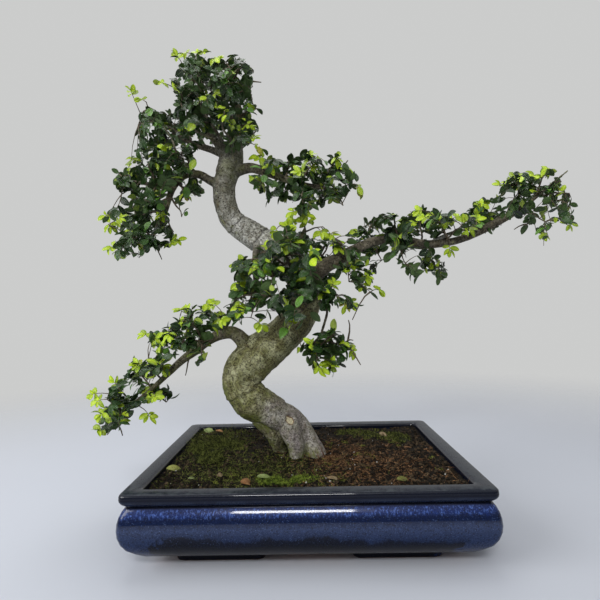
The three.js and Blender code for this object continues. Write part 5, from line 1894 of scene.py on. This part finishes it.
@dataclass
class Strands:
    """Many thin pointed strands, each bent once, which make moss and fibres."""

    radius: float
    lengths: Pair
    lift: Pair
    bend: float
    seed: int
    faces: tuple[tuple[int, ...], ...] = (
        (0, 2, 1), (0, 1, 4, 3), (1, 2, 5, 4), (2, 0, 3, 5), (3, 4, 6), (4, 5, 6), (5, 3, 6))

    def build(self, name: str, bases: np.ndarray) -> Object:
        """Builds one strand at each base, with a tone of its own.

        Args:
            name: The object's name.
            bases: Where they start, in millimetres.

        Returns:
            The object.
        """
        numbers = np.random.default_rng(self.seed)
        count = len(bases)
        heading = numbers.normal(0, 1, (count, 3))
        heading[:, 2] = 0
        heading /= np.linalg.norm(heading, axis=1)[:, None]
        rise = numbers.uniform(*self.lift, (count, 1))
        heading = heading * np.cos(rise) + np.array(UP) * np.sin(rise)
        length = numbers.uniform(*self.lengths, (count, 1))
        curve = numbers.normal(0, self.bend, (count, 3)) * length
        curve[:, 2] -= 0.25 * self.bend * length[:, 0]
        middle = bases + heading * length * 0.5 + curve * 0.1
        tip = bases + heading * length + curve
        side = np.cross(heading, numbers.normal(0, 1, (count, 3)))
        side /= np.linalg.norm(side, axis=1)[:, None]
        other = np.cross(heading, side)
        corners = [side * math.cos(turn) + other * math.sin(turn) for turn in (0, 2.094, 4.189)]
        low = [bases + one * self.radius for one in corners]
        high = [middle + one * self.radius * 0.75 for one in corners]
        points = np.stack([*low, *high, tip], axis=1)
        made = mesh_object(name, points.reshape(-1, 3), copied(self.faces, count, points.shape[1]))
        write_attribute(made, "tone", np.repeat(numbers.random(count) ** 1.3, points.shape[1]))
        return made


@dataclass
class Bed:
    """The soil and all that lies on it."""

    half_x: float = 161.2
    half_y: float = 121.2
    bottom: float = 22.0
    taper: float = 7.0
    pitch: float = 1.7
    crumbs: int = 3500
    chips: int = 220
    grit: int = 90
    fibres: int = 2400
    root_fibres: int = 320
    curled: int = 2300
    strands: int = 4200
    sprouts: int = 60
    sprout_strands: int = 26
    seed: int = 5

    def __post_init__(self) -> None:
        """Starts the random numbers and models one crumb."""
        self.random = random.Random(self.seed)
        self.numbers = np.random.default_rng(self.seed)
        self.crumb = crumb_shape()

    def _surface(self, x: np.ndarray, y: np.ndarray) -> np.ndarray:
        """Gives the height of the crumbly surface."""
        flat = np.stack([x, y, np.zeros_like(x)], axis=1)
        rough = 1.5 * noise_field(flat, 12, 4, 11) + 0.8 * np.abs(noise_field(flat, 5, 3, 12))
        return soil_height(x, y) + rough

    def _placed(self, off: np.ndarray, where: Quad, margin: float) -> np.ndarray:
        """Puts places on part of the surface, within the pot's walls.

        Args:
            off: How far each is from the part's middle, in its half sizes.
            where: The middle and half sizes of the part, x, y, x and y.
            margin: How near to the walls they may lie.

        Returns:
            The places, in millimetres.
        """
        x = np.clip(where[0] + off[:, 0] * where[2], margin - self.half_x, self.half_x - margin)
        y = np.clip(where[1] + off[:, 1] * where[3], margin - self.half_y, self.half_y - margin)
        return np.stack([x, y, self._surface(x, y)], axis=1)

    def _spread(self, count: int, where: Quad, sink: float) -> np.ndarray:
        """Spreads places over part of the surface, thickest in its middle."""
        return self._placed(self.numbers.normal(0, 0.5, (count, 2)), where, 6) - (0, 0, sink)

    def soil(self, finish: Material) -> None:
        """Builds the body of soil, with a crumbly top.

        Args:
            finish: The soil's material.
        """
        soil = primitive("grid", x_subdivisions=int(2 * self.half_x / self.pitch),
                         y_subdivisions=int(2 * self.half_y / self.pitch), size=2)
        soil.name = "potting_soil"
        places = vertices_of(soil) * (self.half_x, self.half_y, 1)
        places[:, 2] = self._surface(places[:, 0], places[:, 1])
        move_vertices(soil, places)
        bpy.ops.object.mode_set(mode="EDIT")
        bpy.ops.mesh.select_all(action="SELECT")
        bpy.ops.mesh.region_to_loop()
        bpy.ops.mesh.extrude_edges_move(TRANSFORM_OT_translate={"value": (0, 0, -1)})
        bpy.ops.transform.resize(value=(1, 1, 0), center_override=(0, 0, self.bottom))
        bpy.ops.mesh.edge_face_add()
        bpy.ops.mesh.select_all(action="SELECT")
        bpy.ops.mesh.normals_make_consistent(inside=False)
        bpy.ops.object.mode_set(mode="OBJECT")
        places = vertices_of(soil)
        low = places[:, 2] < self.bottom + 1
        places[low, :2] *= (self.half_x - self.taper) / self.half_x
        move_vertices(soil, in_frame(places))
        smooth(soil)
        dress(soil, finish)
        hand_over(soil, Slot.SOIL, "soil")

    def _scattered(self, name: str, count: int, where: Quad, size: Pair, squash: Point,
                   finish: Material) -> None:
        """Scatters crumbs over part of the soil.

        Args:
            name: The piece's name.
            count: How many crumbs.
            where: The middle and half sizes of the part, x, y, x and y.
            size: The smallest and largest radius.
            squash: How each crumb's axes are stretched.
            finish: The crumbs' material.
        """
        shape, shape_faces = self.crumb
        middles = self._placed(self.numbers.uniform(-1, 1, (count, 2)), where, 5)
        points, tones = [], []
        for middle in middles:
            radius = size[0] + (size[1] - size[0]) * self.random.random() ** 2
            turn = Matrix.Rotation(self.random.uniform(0, 6.28), 3, "Z")
            turn = turn @ Matrix.Rotation(self.random.gauss(0, 0.4), 3, "X")
            points.append(shape * squash * radius @ np.array(turn).T + (middle + (0, 0, 0.25 * radius)))
            tones.append(self.random.random() ** 2)
        made = mesh_object(name, np.vstack(points), copied(shape_faces, count, len(shape)))
        write_attribute(made, "tone", np.repeat(tones, len(shape)))
        dress(made, finish)
        hand_over(made, Slot.SOIL)

    def litter(self) -> None:
        """Scatters crumbs, chips, grit, fibres and curled moss over the soil."""
        everywhere = (0, 0, self.half_x, self.half_y)
        self._scattered("soil_crumbs", self.crumbs, everywhere, (0.6, 2.6), (1.2, 0.95, 0.75),
                        CRUMB_FINISH.material())
        self._scattered("bark_chips", self.chips, (70, -30, 90, 90), (1.2, 3.4), (2.3, 0.42, 0.3),
                        CHIP_FINISH.material())
        self._scattered("white_grit", self.grit, everywhere, (0.5, 1.3), (1, 0.9, 0.8),
                        GRIT_FINISH.material())
        fibre, olive = FIBRE_FINISH.material(), STRAND_FINISH.material()
        pieces = [
            ("soil_fibres", Strands(0.3, (4, 12), (0.0, 0.35), 0.25, 31),
             self._spread(self.fibres, (62, -45, 80, 85), 0.1), fibre, Slot.SOIL),
            ("root_fibres", Strands(0.32, (3, 8), (0.1, 0.9), 0.25, 32),
             self._spread(self.root_fibres, (22, -26, 22, 18), 0.2), fibre, Slot.SOIL),
            ("curled_moss", Strands(0.42, (3, 8), (0.1, 1.1), 0.5, 33),
             self._spread(self.curled, (-125, 50, 50, 75), 0.2), olive, Slot.MOSS),
            ("moss_strands", Strands(0.3, (2, 6), (0.0, 0.9), 0.4, 35),
             self._spread(self.strands, (-62, -62, 95, 62), 0.1), olive, Slot.MOSS),
        ]
        tufts = [self._spread(self.sprout_strands, (x, y, 5, 5), 0.2) for x, y in
                 self.numbers.uniform((-150, -112), (150, 112), (self.sprouts, 2))]
        pieces.append(("moss_sprouts", Strands(0.36, (1.6, 4.2), (0.5, 1.5), 0.3, 34),
                       np.vstack(tufts), SPROUT_FINISH.material(), Slot.MOSS))
        for name, strands, bases, finish, slot in pieces:
            made = strands.build(name, bases)
            dress(made, finish)
            hand_over(made, slot)


@dataclass(frozen=True)
class MossPatch:
    """One patch of moss: low ragged cushions under many small shoots."""

    node: str
    cushions: tuple[Quad, ...]
    tufts: int
    lengths: Pair
    finish: EarthFinish
    shoot_radius: float = 0.4
    height: float = 1.7
    voxel: float = 1.3
    seed: int = 9

    def build(self, bed: Material) -> None:
        """Builds the patch.

        Args:
            bed: The cushions' material.
        """
        cushions = []
        for x, y, half_x, half_y in self.cushions:
            cushion = primitive("uv_sphere", segments=24, ring_count=12, radius=1)
            middle = (x, y, soil_height(x, y))
            move_vertices(cushion, vertices_of(cushion) * (half_x, half_y, self.height) + middle)
            cushions.append(cushion)
        choose(*cushions)
        bpy.ops.object.join()
        patch = cushions[0]
        patch.name = f"soft_{self.node}"
        apply_modifier(patch, "REMESH", mode="VOXEL", voxel_size=self.voxel)
        places = vertices_of(patch)
        normals = vertices_of(patch, "vertex_normals", "vector")
        places += normals * (1.3 * noise_field(places, 7, 3, self.seed))[:, None]
        move_vertices(patch, in_frame(places))
        write_attribute(patch, "tone", np.clip(0.2 + 0.4 * noise_field(places, 12, 2, 4), 0, 1))
        numbers = np.random.default_rng(self.seed)
        upper = np.flatnonzero((normals[:, 2] > 0.1) & (noise_field(places, 11, 2, 6) > -0.12))
        bases = places[numbers.choice(upper, self.tufts)] + numbers.normal(0, 0.4, (self.tufts, 3))
        strands = Strands(self.shoot_radius, self.lengths, (0.35, 1.5), 0.35, self.seed)
        shoots = strands.build(f"{self.node}_shoots", bases)
        dress(patch, bed)
        dress(shoots, self.finish.material())
        smooth(patch)
        choose(patch, shoots)
        bpy.ops.object.join()
        hand_over(patch, Slot.MOSS, self.node)


MOSS_PATCHES = (
    MossPatch("front_moss", ((-40, -92, 15, 10), (-21, -94, 19, 10), (-2, -92, 14, 9)), 2400,
              (1.5, 3.4), MOSS_FINISH),
    MossPatch("left_moss", ((-118, -8, 24, 30), (-104, 26, 30, 26), (-136, 22, 18, 22)), 2600,
              (2.5, 6.5), STRAND_FINISH),
    MossPatch("right_moss", ((92, 74, 34, 24), (64, 92, 26, 18), (122, 60, 20, 26)), 2200,
              (1.6, 4), STRAND_FINISH),
)


@dataclass(frozen=True)
class FallenLeaf:
    """One leaf that lies on the soil, turned and tilted in degrees."""

    name: str
    x: float
    y: float
    turn: float
    tilt: float
    length: float
    width: float
    curl: float
    finish: EarthFinish
    tone: float = 0.2

    def build(self) -> None:
        """Builds the leaf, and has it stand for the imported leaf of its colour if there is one."""
        shape, faces, _, _ = Blade(0.3, self.curl, 0.2).shape()
        turn, tilt = math.radians(self.turn), math.radians(self.tilt)
        axes = np.array(Matrix.Rotation(turn, 3, "Z") @ Matrix.Rotation(tilt, 3, "X")).T
        lift = 1.8 + 0.25 * self.length * self.width * abs(math.sin(tilt))
        middle = (self.x, self.y, soil_height(self.x, self.y) + lift)
        points = (shape - (0.5, 0, 0)) * (1, self.width, 1) * self.length
        made = mesh_object(f"fallen_{self.name}_leaf", points @ axes + middle, faces)
        apply_modifier(made, "SUBSURF", levels=1, render_levels=1)
        write_attribute(made, "tone", np.full(len(made.data.vertices), self.tone))
        smooth(made)
        dress(made, self.finish.material())
        node = f"{self.name}_fallen_leaf"
        hand_over(made, Slot.FALLEN_LEAF, *([node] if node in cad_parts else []))


FALLEN_LEAVES = (
    FallenLeaf("yellow", -150, -56, 10, 18, 17, 1.2, 0.5, YELLOW_LEAF),
    FallenLeaf("brown", -60, -101, 32, 30, 20, 0.9, 1.3, BROWN_LEAF),
    FallenLeaf("olive", 99, -96, 15, 15, 17, 1.0, 0.6, OLIVE_LEAF),
    FallenLeaf("light", -46, -86, 8, 12, 16, 0.9, 0.3, LIGHT_LEAF),
    FallenLeaf("beige", -91, -80, 55, 25, 17, 0.8, 1.1, BEIGE_LEAF),
    FallenLeaf("small", -123, -83, 40, 10, 9, 1.1, 0.4, LIGHT_LEAF),
    FallenLeaf("tan", 27, -92, 12, 20, 16, 0.6, 0.8, BEIGE_LEAF),
    FallenLeaf("back", -147, 108, -40, 20, 20, 1.1, 0.4, LIGHT_LEAF),
    FallenLeaf("orange", -130, 108, 15, 15, 13, 0.9, 0.7, BROWN_LEAF),
    FallenLeaf("pale", 106, 72, -70, 20, 18, 0.8, 0.6, BEIGE_LEAF),
)


@dataclass
class Drainage:
    """The mesh screens and wire clips at the two drain holes."""

    leg: float = 4.5
    wire_radius: float = 0.8
    bend: float = 1.8
    under: float = 10.9
    over: float = 22.6
    drain_x: float = 85.0

    def build(self, screen: Material, wire: Material) -> None:
        """Dresses the screens and makes round clips.

        Args:
            screen: The mesh's material.
            wire: The wire's material.
        """
        leg, bend, under, over = self.leg, self.bend, self.under, self.over
        half = [(18, under), (12, under), (leg + bend, under), (leg, under + bend), (leg, over - 5),
                (leg, over - bend), (leg - bend, over)]
        line = [(-x, z) for x, z in half] + half[::-1]
        for name, middle in (("left", -self.drain_x), ("right", self.drain_x)):
            dress(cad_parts[f"{name}_drain_screen"], screen)
            route = Route(tuple((middle + x, leg, z, self.wire_radius) for x, z in line))
            clip = tubes_object(f"{name}_wire_clip", [route.sampled(60)], 3)
            smooth(clip, 40)
            dress(clip, wire)
            hand_over(clip, Slot.WIRE, f"{name}_screen_clip")


@dataclass(frozen=True)
class Viewpoint:
    """The camera, placed as the photograph was taken, with its turns in degrees."""

    yaw: float = -0.82
    pitch: float = 2.0
    roll: float = -1.24
    focal_pixels: float = 449.1
    sensor: float = 36.0

    def build(self) -> None:
        """Makes the scene's camera."""
        yaw, pitch, roll = (math.radians(a) for a in (self.yaw, self.pitch, self.roll))
        ahead = Vector((math.sin(yaw) * math.cos(pitch), math.cos(yaw) * math.cos(pitch), math.sin(pitch)))
        level = Vector((math.cos(yaw), -math.sin(yaw), 0))
        upright = level.cross(ahead)
        right = level * math.cos(roll) + upright * math.sin(roll)
        up = upright * math.cos(roll) - level * math.sin(roll)
        data = bpy.data.cameras.new("Photo camera")
        data.sensor_width = self.sensor
        data.lens = self.focal_pixels * self.sensor / PHOTO_SIZE
        data.clip_start = 0.02
        camera = in_scene("Photo camera", data)
        turn = Matrix((right, up, -ahead)).transposed().to_4x4()
        camera.matrix_world = Matrix.Translation(in_frame(EYE)) @ turn
        bpy.context.scene.camera = camera


@dataclass
class Studio:
    """A pale floor without an edge, a pale surround and soft lights, in metres in the part's frame."""

    backdrop: Colour = (0.6, 0.605, 0.6)
    floor: Colour = (0.6, 0.63, 0.695)
    floor_reach: float = 1.5
    floor_fade: float = 0.4
    dark_side: float = 0.1
    bright_side: float = 0.42
    aim: Point = (-0.052, 0, 0.2)
    lights: tuple[tuple[str, Point, Pair, float], ...] = (
        ("Window", (-0.14, -1.72, 1.38), (0.62, 0.3), 15),
        ("Ceiling", (-0.2, 0.5, 1.9), (1.5, 1.2), 11),
        ("Left key", (-1.8, -0.95, 1.25), (1.5, 1.2), 26),
    )

    def build(self) -> None:
        """Makes the surround, the floor and the lights."""
        self._surround()
        floor = primitive("circle", vertices=96, radius=self.floor_reach, fill_type="NGON")
        floor.name = "studio_floor"
        surface = Surface("Pale floor")
        place = surface.place()
        away = surface.add("VectorMath", {0: place}, "Value", operation="LENGTH")
        dress(floor, surface.finish({
            "Base Color": place.noise(4, 3).mix(self.floor, tuple(0.97 * c for c in self.floor)),
            "Alpha": away.levels(self.floor_fade, self.floor_reach, 1, 0),
            "Roughness": 0.8,
            "Specular IOR Level": 0.15,
        }))
        for name, place, size, power in self.lights:
            self._light(name, place, size, power)

    def _surround(self) -> None:
        """Makes a surround that is even where it is seen, and lights the tree from above and behind."""
        world = bpy.data.worlds.new("Pale surround")
        world.use_nodes = True
        graph = Graph(world.node_tree)
        _, towards_back, upwards = graph.add("TexCoord", output="Generated").split()
        level = upwards.levels(0.0, 0.75, self.dark_side, self.bright_side)
        back = towards_back.levels(-0.25, 0.5)
        level = graph.add("Mix", {0: back, 2: level, 3: self.bright_side}, data_type="FLOAT")
        light = level.mix((0, 0, 0), (1, 1, 1))
        seen = graph.add("LightPath", output="Is Camera Ray")
        graph.feed(world.node_tree.nodes["Background"], {0: seen.mix(light, self.backdrop)})
        bpy.context.scene.world = world
        bpy.context.scene.view_settings.view_transform = "Standard"

    def _light(self, name: str, place: Point, size: Pair, power: float) -> None:
        """Adds a soft rectangular light that shines on the tree.

        Args:
            name: The light's name.
            place: Where it is.
            size: Its width and height.
            power: Its power in watts.
        """
        data = bpy.data.lights.new(name, "AREA")
        data.shape = "RECTANGLE"
        data.size, data.size_y = size
        data.energy = power
        made = in_scene(name, data)
        made.location = place
        made.rotation_mode = "QUATERNION"
        made.rotation_quaternion = (Vector(self.aim) - Vector(place)).to_track_quat("-Z", "Y")


def main() -> None:
    """Builds every piece, the camera and the studio in order."""
    logging.basicConfig(level=logging.INFO, format="%(name)s %(message)s")
    Viewpoint().build()
    Studio().build()
    Effects().build()
    Pot().build(GlazeFinish().material())
    Tree().build(BarkFinish().material())
    bed = Bed()
    bed.soil(SOIL_FINISH.material())
    bed.litter()
    moss_bed = MOSS_BED_FINISH.material()
    for patch in MOSS_PATCHES:
        patch.build(moss_bed)
    for leaf in FALLEN_LEAVES:
        leaf.build()
    Drainage().build(SCREEN_FINISH.material(), WireFinish().material())
    Foliage().build(LeafFinish().material(), TwigFinish().material())


if __name__ == "__main__":
    main()
